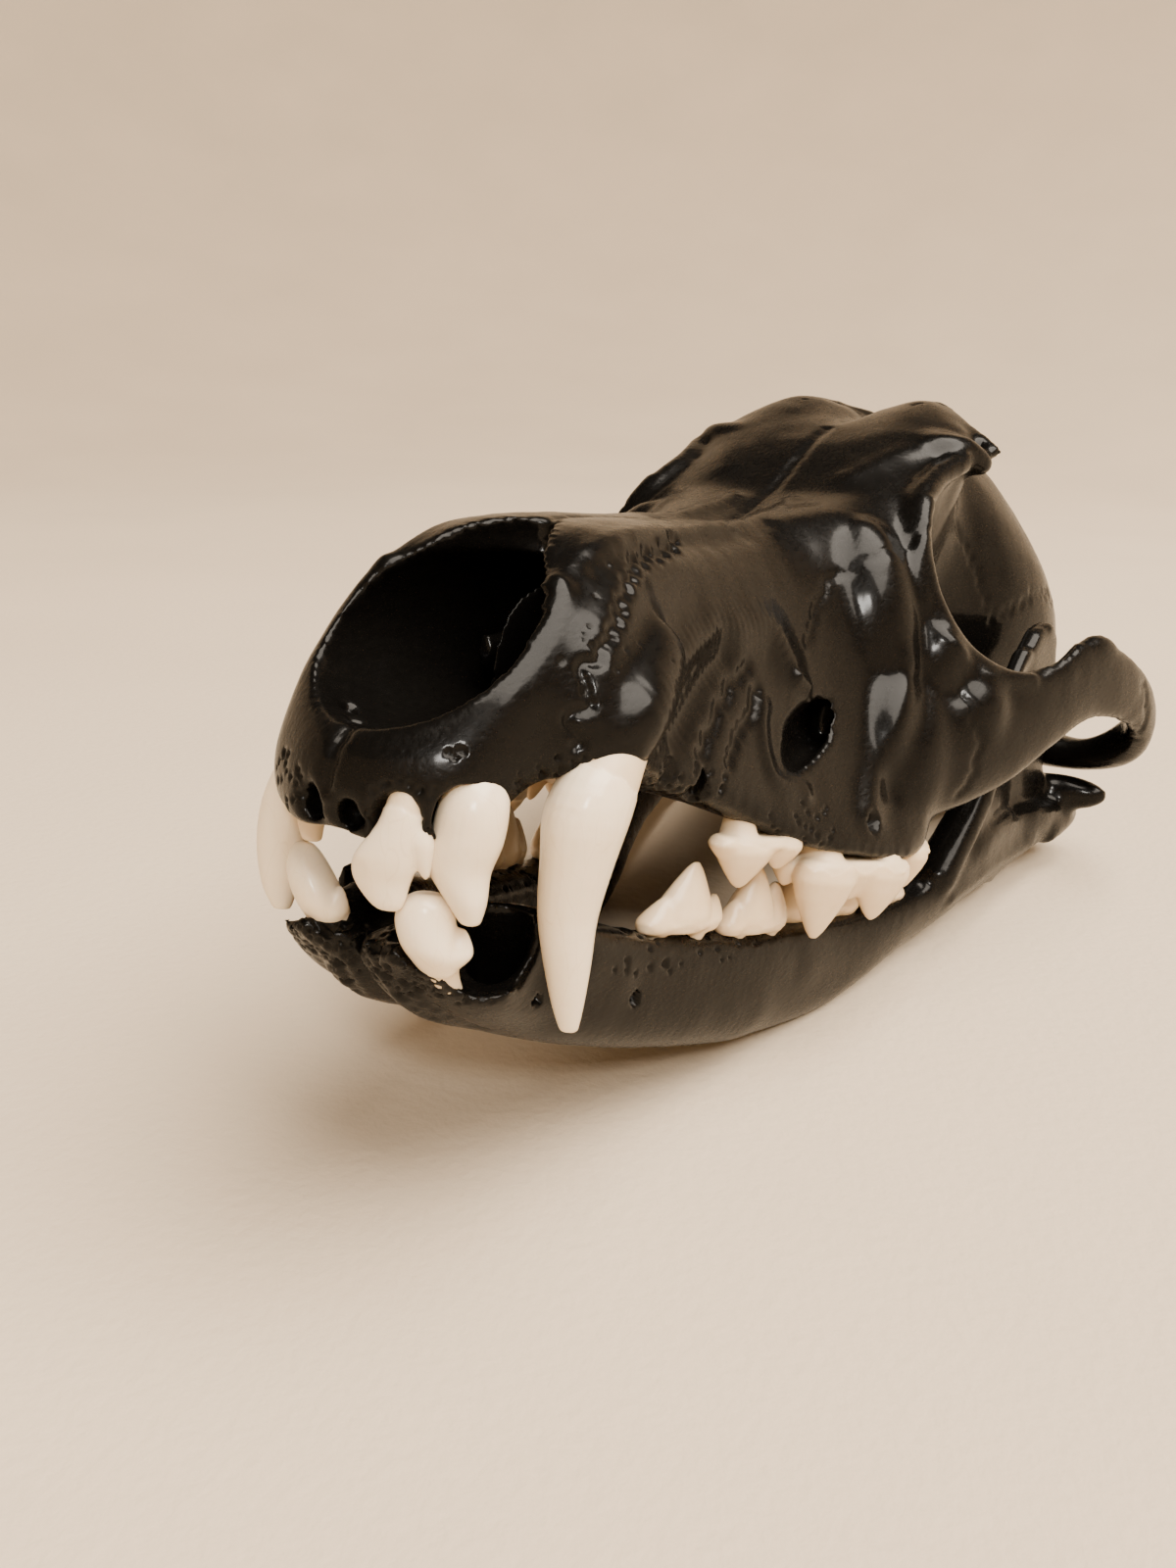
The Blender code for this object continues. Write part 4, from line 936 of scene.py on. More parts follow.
# Empty sockets: (x, y, rim z, lean x, lean y, depth, half width, half length); upper ones run up, lower down
UPPER_SOCKETS = (
    (2.0, 2.0, 1.4, 0.5, 3.4, 6.0, 1.5, 1.4),
    (-2.0, 2.0, 1.4, -0.5, 3.4, 6.0, 1.5, 1.4),
    (-5.6, 3.6, 2.2, 0.5, 3.6, 6.0, 1.7, 1.6),
    (-15.4, 16.6, 4.0, 0.3, 6.0, 11.0, 2.8, 4.4),
    (17.0, 30.0, 2.4, -0.4, 0.6, 4.0, 1.3, 1.5),
    (17.0, 36.2, 1.6, -0.4, 0.6, 4.0, 1.4, 1.5),
)
LOWER_SOCKETS = (
    (9.4, 13.4, -8.8, -2.4, 5.0, -12.0, 3.6, 4.4),
    (2.3, 5.6, -11.4, 0.0, 4.0, -3.6, 0.9, 1.1),
    (4.5, 6.0, -11.4, 0.0, 4.0, -3.6, 0.9, 1.1),
    (11.0, 27.0, -12.4, 0.0, 1.0, -4.0, 1.2, 1.3),
    (12.0, 33.0, -13.0, 0.0, 0.6, -5.0, 1.5, 1.5),
    (13.0, 37.4, -13.6, 0.0, 0.6, -5.0, 1.5, 1.5),
)


def socket(x, y, z, lean_x, lean_y, depth, across, along):
    """A blind tapered hole that starts clear of the bone."""
    start = Vector((x - 0.3 * lean_x, y - 0.3 * lean_y, z - 3.0 * math.copysign(1.0, depth)))
    middle = Vector((x, y, z))
    end = Vector((x + lean_x, y + lean_y, z + depth))
    rows = [(p, across * t, along * t) for p, t in ((start, 1.05), (middle, 1.0), (end, 0.55))]
    return stack("socket", rows, 0, 12)


# Relief of the cranium: (path on the animal's left, width, height, sideways jag), mirrored to the other side
CRANIUM_STROKES = (
    (((9.8, 15.4, 22.0), (9.2, 25.0, 26.4), (8.0, 36.0, 29.2), (6.6, 52.0, 31.6), (5.0, 66.0, 34.0),
      (4.4, 82.0, 39.0)),
     1.8, 0.42, 0.1),
    (((11.2, 20.0, 23.4), (10.8, 29.0, 26.6), (9.6, 40.0, 28.8), (8.6, 54.0, 30.8),
      (7.4, 68.0, 33.8)), 2.2, -0.4, 0.2),
    (((8.8, 41.0, 28.8), (11.3, 27.6, 24.9), (13.1, 22.4, 21.4), (14.5, 17.5, 17.6), (15.0, 13.9, 13.0),
      (15.3, 12.7, 7.7)),
     0.8, -0.5, 0.6),
    (((12.3, 25.0, 23.4), (13.8, 20.0, 19.6), (14.8, 16.0, 15.6), (15.2, 13.4, 10.4)), 3.4, 0.3, 0.3),
    (((19.1, 19.7, 10.6), (17.5, 28.0, 13.5), (14.1, 37.6, 17.8), (13.9, 45.8, 20.4),
      (14.5, 54.0, 21.0), (17.0, 57.6, 17.0)),
     4.2, 0.9, 0.2),
    (((16.4, 31.0, 8.6), (15.4, 37.3, 13.6), (14.6, 43.8, 18.0)), 3.6, -0.9, 0.3),
    (((17.0, 36.0, 7.0), (16.0, 42.0, 12.0), (15.4, 48.0, 16.4)), 1.4, -0.5, 0.4),
    (((17.6, 41.0, 6.0), (16.8, 46.0, 10.0), (16.4, 50.0, 13.6)), 1.2, -0.4, 0.4),
    (((17.0, 26.0, 7.4), (16.4, 30.0, 10.8), (15.0, 36.0, 15.4)), 1.0, -0.3, 0.4),
    (((18.0, 57.6, 15.4), (18.6, 60.0, 14.6)), 1.4, 0.9, 0.0),
    (((18.2, 50.0, 12.4), (18.4, 49.0, 8.6), (20.2, 50.0, 4.2), (22.0, 56.0, 2.6)), 1.8, 0.45, 0.1),
    (((25.4, 78.0, 19.0), (25.8, 74.6, 13.0), (26.0, 71.0, 6.4), (26.8, 67.0, 0.0)), 3.4, 0.8, 0.2),
    (((26.8, 80.0, 15.0), (27.6, 76.6, 9.0), (27.8, 73.0, 3.4)), 3.2, -0.6, 0.3),
    (((21.9, 88.0, 41.5), (22.8, 83.6, 35.0), (23.8, 81.6, 30.4), (26.9, 83.6, 23.2),
      (32.8, 88.0, 18.9), (38.0, 96.0, 19.6)),
     1.5, 0.4, 0.1),
    (((22.6, 86.0, 37.0), (20.4, 76.0, 33.0), (17.0, 70.0, 29.0), (19.0, 62.0, 21.0)), 0.8, -0.22, 0.4),
    (((31.6, 83.0, 17.0), (33.0, 87.0, 11.0), (31.6, 86.0, 3.4)), 0.8, -0.3, 0.5),
    (((45.2, 119.0, 25.0), (48.6, 127.0, 19.0), (48.6, 133.0, 12.0)), 0.8, -0.35, 0.5),
    (((2.0, 125.0, 60.0), (12.0, 121.0, 57.0), (20.0, 121.0, 48.0), (24.0, 125.0, 38.0), (27.0, 130.0, 28.0)),
     0.8, -0.28, 0.7),
    (((27.5, 131.0, 30.0), (31.0, 142.0, 35.0), (30.5, 154.0, 35.0), (27.0, 166.0, 30.0)), 0.8, -0.28, 0.7),
    (((9.6, 90.0, 44.0), (14.0, 97.0, 49.4), (20.4, 106.0, 51.6)), 3.0, 0.35, 0.1),
    (((10.0, 62.0, 3.3), (4.0, 57.0, 3.3), (0.0, 56.0, 3.3)), 0.8, -0.3, 0.4),
    (((3.6, 10.0, 2.4), (3.8, 17.0, 2.8)), 2.6, -1.6, 0.0),
    (((12.0, 168.0, -2.0), (16.0, 160.0, -5.4), (17.0, 150.0, -2.0)), 2.0, 0.3, 0.1),
)
MIDDLE_STROKES = (
    (((0.0, 27.0, 28.4), (0.0, 45.0, 31.0), (0.0, 66.0, 33.4), (0.0, 85.0, 40.5),
      (0.0, 104.0, 52.0)), 1.1, -0.4, 0.12),
    (((0.0, 5.4, 6.6), (0.0, 0.0, 4.6), (0.0, -1.0, 1.6)), 0.9, -0.45, 0.2),
    (((0.0, 4.0, 2.0), (0.0, 40.0, 3.2), (0.0, 95.0, 4.0)), 0.9, -0.3, 0.25),
)

# Pitted skin: (centre, reach, count, largest pit radius, depth)
CRANIUM_PITS = (
    ((7.5, 2.5, 0.6), (7.0, 5.0, 3.0), 70, 0.55, 0.35),
    ((-7.5, 2.5, 0.6), (7.0, 5.0, 3.0), 70, 0.55, 0.35),
    ((9.4, 3.4, 6.2), (1.2, 1.2, 0.8), 4, 0.5, 0.4),
    ((15.6, 13.0, 4.0), (4.0, 7.0, 3.0), 60, 0.5, 0.3),
    ((-15.6, 13.0, 4.0), (4.0, 7.0, 3.0), 60, 0.5, 0.3),
    ((14.0, 20.0, 18.0), (5.0, 12.0, 9.0), 26, 0.45, 0.2),
    ((17.5, 30.0, 3.4), (4.0, 12.0, 3.0), 60, 0.6, 0.35),
    ((-17.5, 30.0, 3.4), (4.0, 12.0, 3.0), 60, 0.6, 0.35),
    ((24.0, 58.0, -1.0), (7.0, 16.0, 3.0), 40, 0.6, 0.3),
    ((27.6, 66.8, -0.6), (1.4, 1.4, 1.4), 3, 1.8, 0.9),
    ((0.0, 186.0, 40.0), (16.0, 10.0, 14.0), 60, 1.3, 0.6),
    ((0.0, 130.0, 60.0), (20.0, 20.0, 8.0), 30, 0.8, 0.25),
)
JAW_STROKES = (
    (((1.4, 3.8, -12.4), (2.2, 6.0, -15.6), (3.4, 11.0, -19.4)), 1.0, -0.4, 0.4),
    (((3.2, 4.0, -13.0), (4.2, 7.0, -16.4), (5.2, 12.0, -20.2)), 0.9, -0.35, 0.4),
    (((5.6, 6.0, -14.6), (6.6, 10.0, -18.2), (8.0, 16.0, -21.6)), 1.0, -0.3, 0.4),
    (((12.0, 26.0, -23.0), (17.0, 42.0, -25.4), (20.6, 58.0, -27.0)), 5.0, 0.3, 0.1),
    (((17.4, 34.0, -17.6), (20.0, 48.0, -19.0), (23.0, 64.0, -20.0)), 4.0, -0.3, 0.2),
    (((31.0, 104.0, -14.0), (34.4, 118.0, -10.6), (36.8, 134.0, -7.0)), 2.2, 0.5, 0.2),
    (((33.6, 120.0, 20.0), (34.6, 124.0, 8.0), (35.6, 130.0, -2.0)), 5.0, -0.6, 0.2),
)
JAW_PITS = (
    ((12.7, 18.2, -17.7), (0.8, 0.8, 0.8), 3, 1.5, 0.9),
    ((15.3, 33.5, -19.7), (0.8, 0.8, 0.8), 3, 1.8, 1.0),
    ((2.9, 8.1, -18.0), (0.9, 0.9, 0.9), 2, 1.1, 0.8),
    ((2.8, 5.8, -15.6), (1.2, 1.2, 1.2), 3, 0.8, 0.6),
    ((4.0, 5.0, -14.0), (6.0, 5.0, 4.0), 90, 0.6, 0.35),
    ((10.0, 9.0, -14.0), (5.0, 5.0, 3.0), 50, 0.5, 0.3),
    ((16.0, 45.0, -15.0), (5.0, 18.0, 3.0), 60, 0.6, 0.35),
)


# Scrolls inside the nose, left side, and the wall between its halves:
# (x, y, z, radius across, radius upright)
NOSE_SCROLLS = (
    ((2.4, 26.0, 10.2, 1.1, 1.6), (2.8, 33.0, 11.0, 1.4, 2.0), (2.6, 46.0, 13.0, 1.4, 2.0)),
    ((4.6, 26.0, 14.0, 1.0, 1.8), (4.6, 33.0, 14.6, 1.3, 2.2), (3.6, 46.0, 15.6, 1.2, 2.0)),
    ((2.6, 28.0, 17.4, 0.9, 1.7), (3.0, 35.0, 17.6, 1.2, 2.0), (2.4, 46.0, 17.6, 1.0, 1.8)),
)
NOSE_WALL = ((0.0, 23.0, 10.0, 0.5, 3.0), (0.0, 30.0, 14.0, 0.5, 8.0), (0.0, 50.0, 15.0, 0.5, 7.0))


def mirror_path(path, side):
    return [(side * x, y, z) for x, y, z in path]


def make_cranium(sizes, finish):
    pieces = [object_from_rings("core", cranium_rings())]
    for path in (
        ORBIT_RIM,
        BROW_HORN,
        TEMPORAL_LINE,
        NAPE_CREST,
        CHEEK_ARCH,
        CANINE_SWELL,
        NOSE_RIM,
        PALATE_WING,
        NECK_PROCESS,
    ):
        pieces += both_sides(tube("ridge", path))
    pieces.append(tube("crest", CREST))
    for centre, radii, turn in SWELLINGS:
        pieces += both_sides(ball("swelling", centre, radii, turn))
    skull = fuse("cranium", pieces, sizes.rough, 10)
    for side in (1, -1):
        press_side(skull, side, PRESSES)
    for centre, reach, push in ONE_SIDED_PRESSES:
        press(skull, centre, reach, push)
    cutters = [
        tube("nose_mouth", NOSE_HOLE, around=28),
        tube("nose_notch", NOSE_NOTCH, around=20),
        tube("nape_hole", NAPE_HOLE, around=24),
    ]
    for side in (1, -1):
        centre, radii = EYE_SOCKET
        cutters.append(ball("eye_socket", (side * centre[0], *centre[1:]), radii))
        for path in (CHEEK_HOLE, EAR_HOLE):
            cutters.append(tube("hole", [(side * x, y, z, across, tall) for x, y, z, across, tall in path]))
    carve(skull, cutters)
    carve(skull, [ball("break", centre, radii) for centre, radii in UPPER_BREAKS])
    carve(skull, [socket(*row) for row in UPPER_SOCKETS])
    scrolls = [tube("wall", NOSE_WALL)]
    for path in NOSE_SCROLLS:
        scrolls += both_sides(tube("scroll", path))
    skull = largest_shell(fuse("cranium", [skull, *scrolls], sizes.fine, 3))
    finest(skull, *FINEST_CRANIUM)
    skin = Skin(skull, SEED)
    skin.waves(20.0, 0.07)
    skin.waves(5.0, 0.02)
    for side in (1, -1):
        for path, width, height, jag in CRANIUM_STROKES:
            skin.stroke(mirror_path(path, side), width, height, jag)
    for path, width, height, jag in MIDDLE_STROKES:
        skin.stroke(path, width, height, jag)
    for row in CRANIUM_PITS:
        skin.pits(*row)
    skin.settle()
    nodes = ("muzzle", "braincase", "cheek_arch_left", "cheek_arch_right")
    return show(skull, "cranium", finish, nodes)


def make_jaw(side, word, sizes, finish):
    rings = []
    for y, rim_x, foot_x, rim, foot, half in smooth_rows(JAW_ROWS, 5):
        ring = []
        for k in range(24):
            across, up = math.cos(2 * math.pi * k / 24), math.sin(2 * math.pi * k / 24)
            across = math.copysign(abs(across) ** 0.7, across)
            up = math.copysign(abs(up) ** 0.8, up)
            share = (up + 1) / 2
            ring.append((foot_x + (rim_x - foot_x) * share + half * across, y, foot + (rim - foot) * share))
        rings.append(ring)
    pieces = [object_from_rings("jaw_body", rings)]
    pieces.append(plate("coronoid", CORONOID, coronoid_x, CORONOID_THICKNESS))
    for path in (SYMPHYSIS, JAW_CONDYLE, FRONT_EDGE, ANGLE):
        pieces.append(tube("ridge", path))
    if side < 0:
        pieces = [swap(p) for p in pieces]
    jaw = fuse("jaw", pieces, sizes.rough, 4)
    press_side(jaw, side, JAW_PRESSES)
    empty = [socket(side * r[0], r[1], r[2], side * r[3], *r[4:]) for r in LOWER_SOCKETS]
    broken = [ball("break", (side * x, y, z), radii) for (x, y, z), radii in LOWER_BREAKS]
    carve(jaw, [middle_block(side), *broken, *empty])
    finer(largest_shell(jaw), sizes.fine, 2)
    finest(jaw, *FINEST_JAW)
    skin = Skin(jaw, SEED + side)
    skin.waves(18.0, 0.07)
    skin.waves(5.0, 0.02)
    for path, width, height, jag in JAW_STROKES:
        skin.stroke(mirror_path(path, side), width, height, jag)
    for centre, reach, count, radius, depth in JAW_PITS:
        skin.pits((side * centre[0], *centre[1:]), reach, count, radius, depth)
    skin.settle()
    return show(jaw, f"mandible_bone_{word}", finish, (f"mandible_{word}",))


# Teeth in the round


def mark_neck(obj, below_neck):
    """Keeps how far each point lies onto the root, from 0 to 1, and lets the enamel stand proud of it."""
    points = places(obj.data) / MM
    share = eased(np.clip(below_neck(points) / 0.5 + 0.5, 0.0, 1.0))
    points += normals(obj.data) * ((1.0 - share) * NECK_LEDGE)[:, None]
    keep_mask(obj.data, "neck", share)
    move_to(obj.data, points * MM)
    return obj


def solid_tooth(name, parts, voxel, rounds):
    pieces = [stack(f"{name}_{i}", rows, heading, 24) for i, (rows, heading) in enumerate(parts)]
    return largest_shell(fuse(name, pieces, voxel, rounds))


def make_front_tooth(key, sizes, finish):
    stops, heading, lobes, neck = FRONT_TEETH[key]
    parts = [curved(stops, heading)]
    for base, tip, across, along in lobes:
        parts.append((cusp(base, tip, across, along), heading))
    made = solid_tooth(key, parts, sizes.tooth, 5)
    line = np.array(smooth_rows([stop[:3] for stop in stops], 20))
    reached = lengths_along(line)

    def below_neck(points):
        nearest = np.array([((line - p) ** 2).sum(axis=1).argmin() for p in points])
        ripple = 0.25 * np.sin(points[:, 0] * 2.3) * np.cos(points[:, 1] * 1.9)
        return neck - reached[nearest] + ripple

    mark_neck(made, below_neck)
    home = "muzzle" if key.startswith("upper") else "mandible_" + key.split("_")[-1]
    return show(made, key, finish, (home,))


def make_cheek_tooth(key, side, word, sizes, finish):
    parts = cheek_tooth(side, *CHEEK_TEETH[key])
    gum = CHEEK_TEETH[key][3]
    made = solid_tooth(key, parts, sizes.tooth * 1.15, 4)
    up = 1.0 if key.startswith("upper") else -1.0

    def below_neck(points):
        ripple = 0.35 * np.sin(points[:, 1] * 1.1) + 0.15 * np.sin(points[:, 0] * 2.9)
        return (points[:, 2] - gum) * up + 0.2 + ripple

    mark_neck(made, below_neck)
    home = "muzzle" if key.startswith("upper") else f"mandible_{word}"
    return show(made, f"{key}_{word}", finish, (home,))


# Finishes


def add(tree, kind, place=(0, 0), **settings):
    """A shader node with its settings."""
    node = tree.nodes.new(kind)
    node.location = place
    for key, value in settings.items():
        setattr(node, key, value)
    return node


def new_group(name, ins, outs):
    """A node group, with its input and output nodes."""
    group = bpy.data.node_groups.new(name, "ShaderNodeTree")
    for label, value in ins:
        made = group.interface.new_socket(label, in_out="INPUT", socket_type="NodeSocketFloat")
        made.default_value = value
    for label in outs:
        group.interface.new_socket(label, in_out="OUTPUT", socket_type="NodeSocketFloat")
    start = add(group, "NodeGroupInput", (-900, 0))
    end = add(group, "NodeGroupOutput", (600, 0))
    return group, start, end


def maths(tree, operation, first, second, place=(0, 0)):
    node = add(tree, "ShaderNodeMath", place, operation=operation)
    for socket_, value in zip(node.inputs, (first, second)):
        if isinstance(value, (int, float)):
            socket_.default_value = value
        else:
            tree.links.new(value, socket_)
    return node.outputs[0]


def noise(tree, vector, scale, detail, place=(0, 0)):
    node = add(tree, "ShaderNodeTexNoise", place)
    tree.links.new(vector, node.inputs["Vector"])
    if isinstance(scale, (int, float)):
        node.inputs["Scale"].default_value = scale
    else:
        tree.links.new(scale, node.inputs["Scale"])
    node.inputs["Detail"].default_value = detail
    return node.outputs["Fac"]


def grain_group():
    """Fine grain with pinholes, in millimetres: a height, and a speckle for roughness and colour."""
    group, start, end = new_group(
        "fine_grain",
        (("Size", 0.5), ("Stretch", 1.0), ("Pinholes", 0.3)),
        ("Height", "Speckle"),
    )
    place = add(group, "ShaderNodeTexCoord", (-900, 300))
    drawn = add(group, "ShaderNodeCombineXYZ", (-700, 100))
    drawn.inputs["X"].default_value = 1000.0
    drawn.inputs["Z"].default_value = 1000.0
    group.links.new(maths(group, "DIVIDE", 1000.0, start.outputs["Stretch"], (-800, 0)), drawn.inputs["Y"])
    scaled = add(group, "ShaderNodeVectorMath", (-500, 200), operation="MULTIPLY")
    group.links.new(place.outputs["Object"], scaled.inputs[0])
    group.links.new(drawn.outputs[0], scaled.inputs[1])
    vector = scaled.outputs[0]
    fineness = maths(group, "DIVIDE", 1.0, start.outputs["Size"], (-700, -200))
    body = noise(group, vector, fineness, 6.0, (-300, 200))
    broad = noise(group, vector, 0.14, 4.0, (-300, -100))
    holes = add(group, "ShaderNodeTexVoronoi", (-300, -350), feature="F1")
    group.links.new(vector, holes.inputs["Vector"])
    group.links.new(maths(group, "MULTIPLY", fineness, 0.55, (-500, -350)), holes.inputs["Scale"])
    dent = maths(group, "SUBTRACT", 0.28, holes.outputs["Distance"], (-100, -350))
    dent = maths(group, "MAXIMUM", dent, 0.0, (50, -350))
    dent = maths(group, "MULTIPLY", dent, start.outputs["Pinholes"], (200, -350))
    group.links.new(maths(group, "SUBTRACT", body, dent, (350, 100)), end.inputs["Height"])
    group.links.new(maths(group, "MULTIPLY", body, broad, (350, -100)), end.inputs["Speckle"])
    return group


def mask_group():
    """A mask kept on the mesh, roughened at its edge by noise."""
    group, start, end = new_group(
        "rough_mask",
        (("Mask", 0.0), ("Raggedness", 0.3), ("Scale", 900.0)),
        ("Mask",),
    )
    place = add(group, "ShaderNodeTexCoord", (-900, 300))
    ragged = noise(group, place.outputs["Object"], start.outputs["Scale"], 4.0, (-500, 200))
    ragged = maths(group, "SUBTRACT", ragged, 0.5, (-300, 200))
    ragged = maths(group, "MULTIPLY", ragged, start.outputs["Raggedness"], (-100, 200))
    summed = maths(group, "ADD", ragged, start.outputs["Mask"], (100, 100))
    clipped = add(group, "ShaderNodeClamp", (300, 100))
    group.links.new(summed, clipped.inputs["Value"])
    group.links.new(clipped.outputs[0], end.inputs["Mask"])
    return group


def use_group(tree, group, place, **values):
    node = add(tree, "ShaderNodeGroup", place, node_tree=group)
    for label, value in values.items():
        node.inputs[label].default_value = value
    return node


def mixed(tree, share, first, second, place=(0, 0)):
    """A blend of two colours by a share."""
    node = add(tree, "ShaderNodeMix", place, data_type="RGBA")
    for socket_, value in zip((node.inputs[0], node.inputs[6], node.inputs[7]), (share, first, second)):
        if hasattr(value, "is_linked"):
            tree.links.new(value, socket_)
        else:
            socket_.default_value = value
    return node.outputs[2]


def ranged(tree, value, low, high, place=(0, 0)):
    """A value from 0 to 1 spread over a range."""
    node = add(tree, "ShaderNodeMapRange", place)
    tree.links.new(value, node.inputs["Value"])
    node.inputs["To Min"].default_value = low
    node.inputs["To Max"].default_value = high
    return node.outputs[0]


def bump(tree, shader, height, distance, place=(0, 0)):
    node = add(tree, "ShaderNodeBump", place)
    node.inputs["Distance"].default_value = distance * MM
    tree.links.new(height, node.inputs["Height"])
    tree.links.new(node.outputs["Normal"], shader.inputs["Normal"])


def grain_node(tree, **values):
    group = bpy.data.node_groups.get("fine_grain") or grain_group()
    return use_group(tree, group, (-900, 0), **values)


def mask_node(tree, **values):
    group = bpy.data.node_groups.get("rough_mask") or mask_group()
    return use_group(tree, group, (-900, -300), **values)


def new_finish(name):
    """A material, with its node tree and its shader."""
    made = bpy.data.materials.new(name)
    made.use_nodes = True
    return made, made.node_tree, made.node_tree.nodes["Principled BSDF"]


def painted_bone(looks):
    """Black gloss paint over bone: pores hold a dull, dusty film, and the grain shows through the coat."""
    if "black_gloss_bone" in bpy.data.materials:
        return bpy.data.materials["black_gloss_bone"]
    made, tree, shader = new_finish("black_gloss_bone")
    grain = grain_node(tree, Size=0.55, Stretch=2.4, Pinholes=0.5)
    pores = add(tree, "ShaderNodeAttribute", (-1100, -300), attribute_name="pores")
    film = mask_node(tree, Raggedness=0.6, Scale=1400.0)
    tree.links.new(pores.outputs["Fac"], film.inputs["Mask"])
    tone = mixed(tree, grain.outputs["Speckle"], (*looks.black, 1.0), (*looks.sheen, 1.0), (-500, 200))
    dusty = maths(tree, "MULTIPLY", film.outputs[0], 0.35, (-600, -100))
    tone = mixed(tree, dusty, tone, (*looks.dust, 1.0), (-300, 200))
    tree.links.new(tone, shader.inputs["Base Color"])
    dull = ranged(tree, grain.outputs["Speckle"], 0.2, 0.5, (-500, -50))
    filmed = maths(tree, "MULTIPLY", film.outputs[0], 0.12, (-500, -350))
    dull = maths(tree, "ADD", dull, filmed, (-300, -150))
    tree.links.new(dull, shader.inputs["Roughness"])
    bump(tree, shader, grain.outputs["Height"], 0.06, (-200, -400))
    coat = ranged(tree, film.outputs[0], looks.coat, 0.4 * looks.coat, (-300, -600))
    tree.links.new(coat, shader.inputs["Coat Weight"])
    shader.inputs["Coat Roughness"].default_value = looks.gloss
    shader.inputs["Specular IOR Level"].default_value = 0.05
    made.diffuse_color = (*looks.black, 1.0)
    return made


def tooth_finish(looks, name, enamel, shade):
    """Ivory enamel with fine cracks, warmer and duller on the root."""
    made, tree, shader = new_finish(name)
    grain = grain_node(tree, Size=0.9, Stretch=1.0, Pinholes=0.1)
    neck = add(tree, "ShaderNodeAttribute", (-1100, -300), attribute_name="neck")
    root_share = mask_node(tree, Raggedness=0.5, Scale=900.0)
    tree.links.new(neck.outputs["Fac"], root_share.inputs["Mask"])
    place = add(tree, "ShaderNodeTexCoord", (-1300, 300))
    stretched = add(tree, "ShaderNodeMapping", (-1100, 300))
    stretched.inputs["Scale"].default_value = (1.0, 1.0, 0.16)
    tree.links.new(place.outputs["Object"], stretched.inputs["Vector"])
    cracks = add(tree, "ShaderNodeTexVoronoi", (-900, 300), feature="DISTANCE_TO_EDGE")
    cracks.inputs["Scale"].default_value = 620.0
    tree.links.new(stretched.outputs[0], cracks.inputs["Vector"])
    line = maths(tree, "LESS_THAN", cracks.outputs["Distance"], 0.012, (-700, 300))
    patchy = noise(tree, place.outputs["Object"], 230.0, 3.0, (-900, 500))
    tone = mixed(tree, patchy, (*enamel, 1.0), (*shade, 1.0), (-500, 300))
    faint = maths(tree, "MULTIPLY", line, 0.25, (-600, 150))
    tone = mixed(tree, faint, tone, (*looks.root, 1.0), (-400, 200))
    tone = mixed(tree, root_share.outputs[0], tone, (*looks.root, 1.0), (-200, 200))
    tree.links.new(tone, shader.inputs["Base Color"])
    dull = ranged(tree, root_share.outputs[0], looks.tooth_gloss, looks.tooth_gloss + 0.25, (-300, -100))
    tree.links.new(dull, shader.inputs["Roughness"])
    bump(tree, shader, grain.outputs["Height"], 0.03, (-200, -400))
    shader.inputs["Subsurface Weight"].default_value = 0.15
    shader.inputs["Subsurface Radius"].default_value = (0.0012, 0.0008, 0.0004)
    shader.inputs["Subsurface Scale"].default_value = 1.0
    made.diffuse_color = (*enamel, 1.0)
    return made


def floor_finish(looks):
    made, tree, shader = new_finish("pale_floor")
    grain = grain_node(tree, Size=1.6, Stretch=1.0, Pinholes=0.0)
    place = add(tree, "ShaderNodeTexCoord", (-1100, 300))
    cloudy = noise(tree, place.outputs["Object"], 9.0, 3.0, (-900, 300))
    tone = mixed(tree, cloudy, (*looks.floor, 1.0), (*(0.86 * c for c in looks.floor), 1.0), (-400, 200))
    tree.links.new(tone, shader.inputs["Base Color"])
    dull = ranged(tree, grain.outputs["Speckle"], 0.75, 0.95, (-400, -50))
    tree.links.new(dull, shader.inputs["Roughness"])
    bump(tree, shader, grain.outputs["Height"], 0.2, (-300, -300))
    return made


# Stage, in metres

STAGE_RADIUS = 0.7
STAGE_BEND = 1.1
STAGE_HEIGHT = 1.4

# The camera, in the skull's own frame and millimetres, with its roll in degrees
CAMERA_AT = (67.02, -76.97, 18.43)
CAMERA_AIM = (9.40, 27.09, 2.53)
CAMERA_ROLL = 8.33
LENS = 27.39

# Lamps: (heading from the skull, distance, width and height, colour), in metres
KEY_LAMP = ((0.44, -0.68, 0.58), 0.9, (0.12, 0.09), (1.0, 0.95, 0.88))
TOP_LAMP = ((0.45, 0.05, 1.0), 1.5, (1.5, 1.4), (1.0, 0.9, 0.78))
LAMPS_AIM = (0.0, 0.0, 0.04)


def make_floor(looks):
    """A round floor that sweeps up into a low wall on all sides."""
    profile = [(0.0, 0.0)]
    profile += [(STAGE_RADIUS * share, 0.0) for share in (0.1, 0.3, 0.6, 1.0)]
    for k in range(1, 13):
        a = math.pi / 2 * k / 12
        profile.append((STAGE_RADIUS + STAGE_BEND * math.sin(a), STAGE_BEND * (1 - math.cos(a))))
    profile.append((STAGE_RADIUS + STAGE_BEND, STAGE_HEIGHT))
    bm = bmesh.new()
    line = [bm.verts.new((r, 0.0, z)) for r, z in profile]
    edges = [bm.edges.new(pair) for pair in zip(line, line[1:])]
    bmesh.ops.spin(
        bm, geom=line + edges, cent=(0, 0, 0), axis=(0, 0, 1), angle=math.tau, steps=96, use_merge=True
    )
    bmesh.ops.remove_doubles(bm, verts=bm.verts, dist=0.0001)
    bmesh.ops.recalc_face_normals(bm, faces=bm.faces)
    floor = built("floor", bm)
    floor.data.shade_smooth()
    floor.data.materials.append(floor_finish(looks))
    return floor


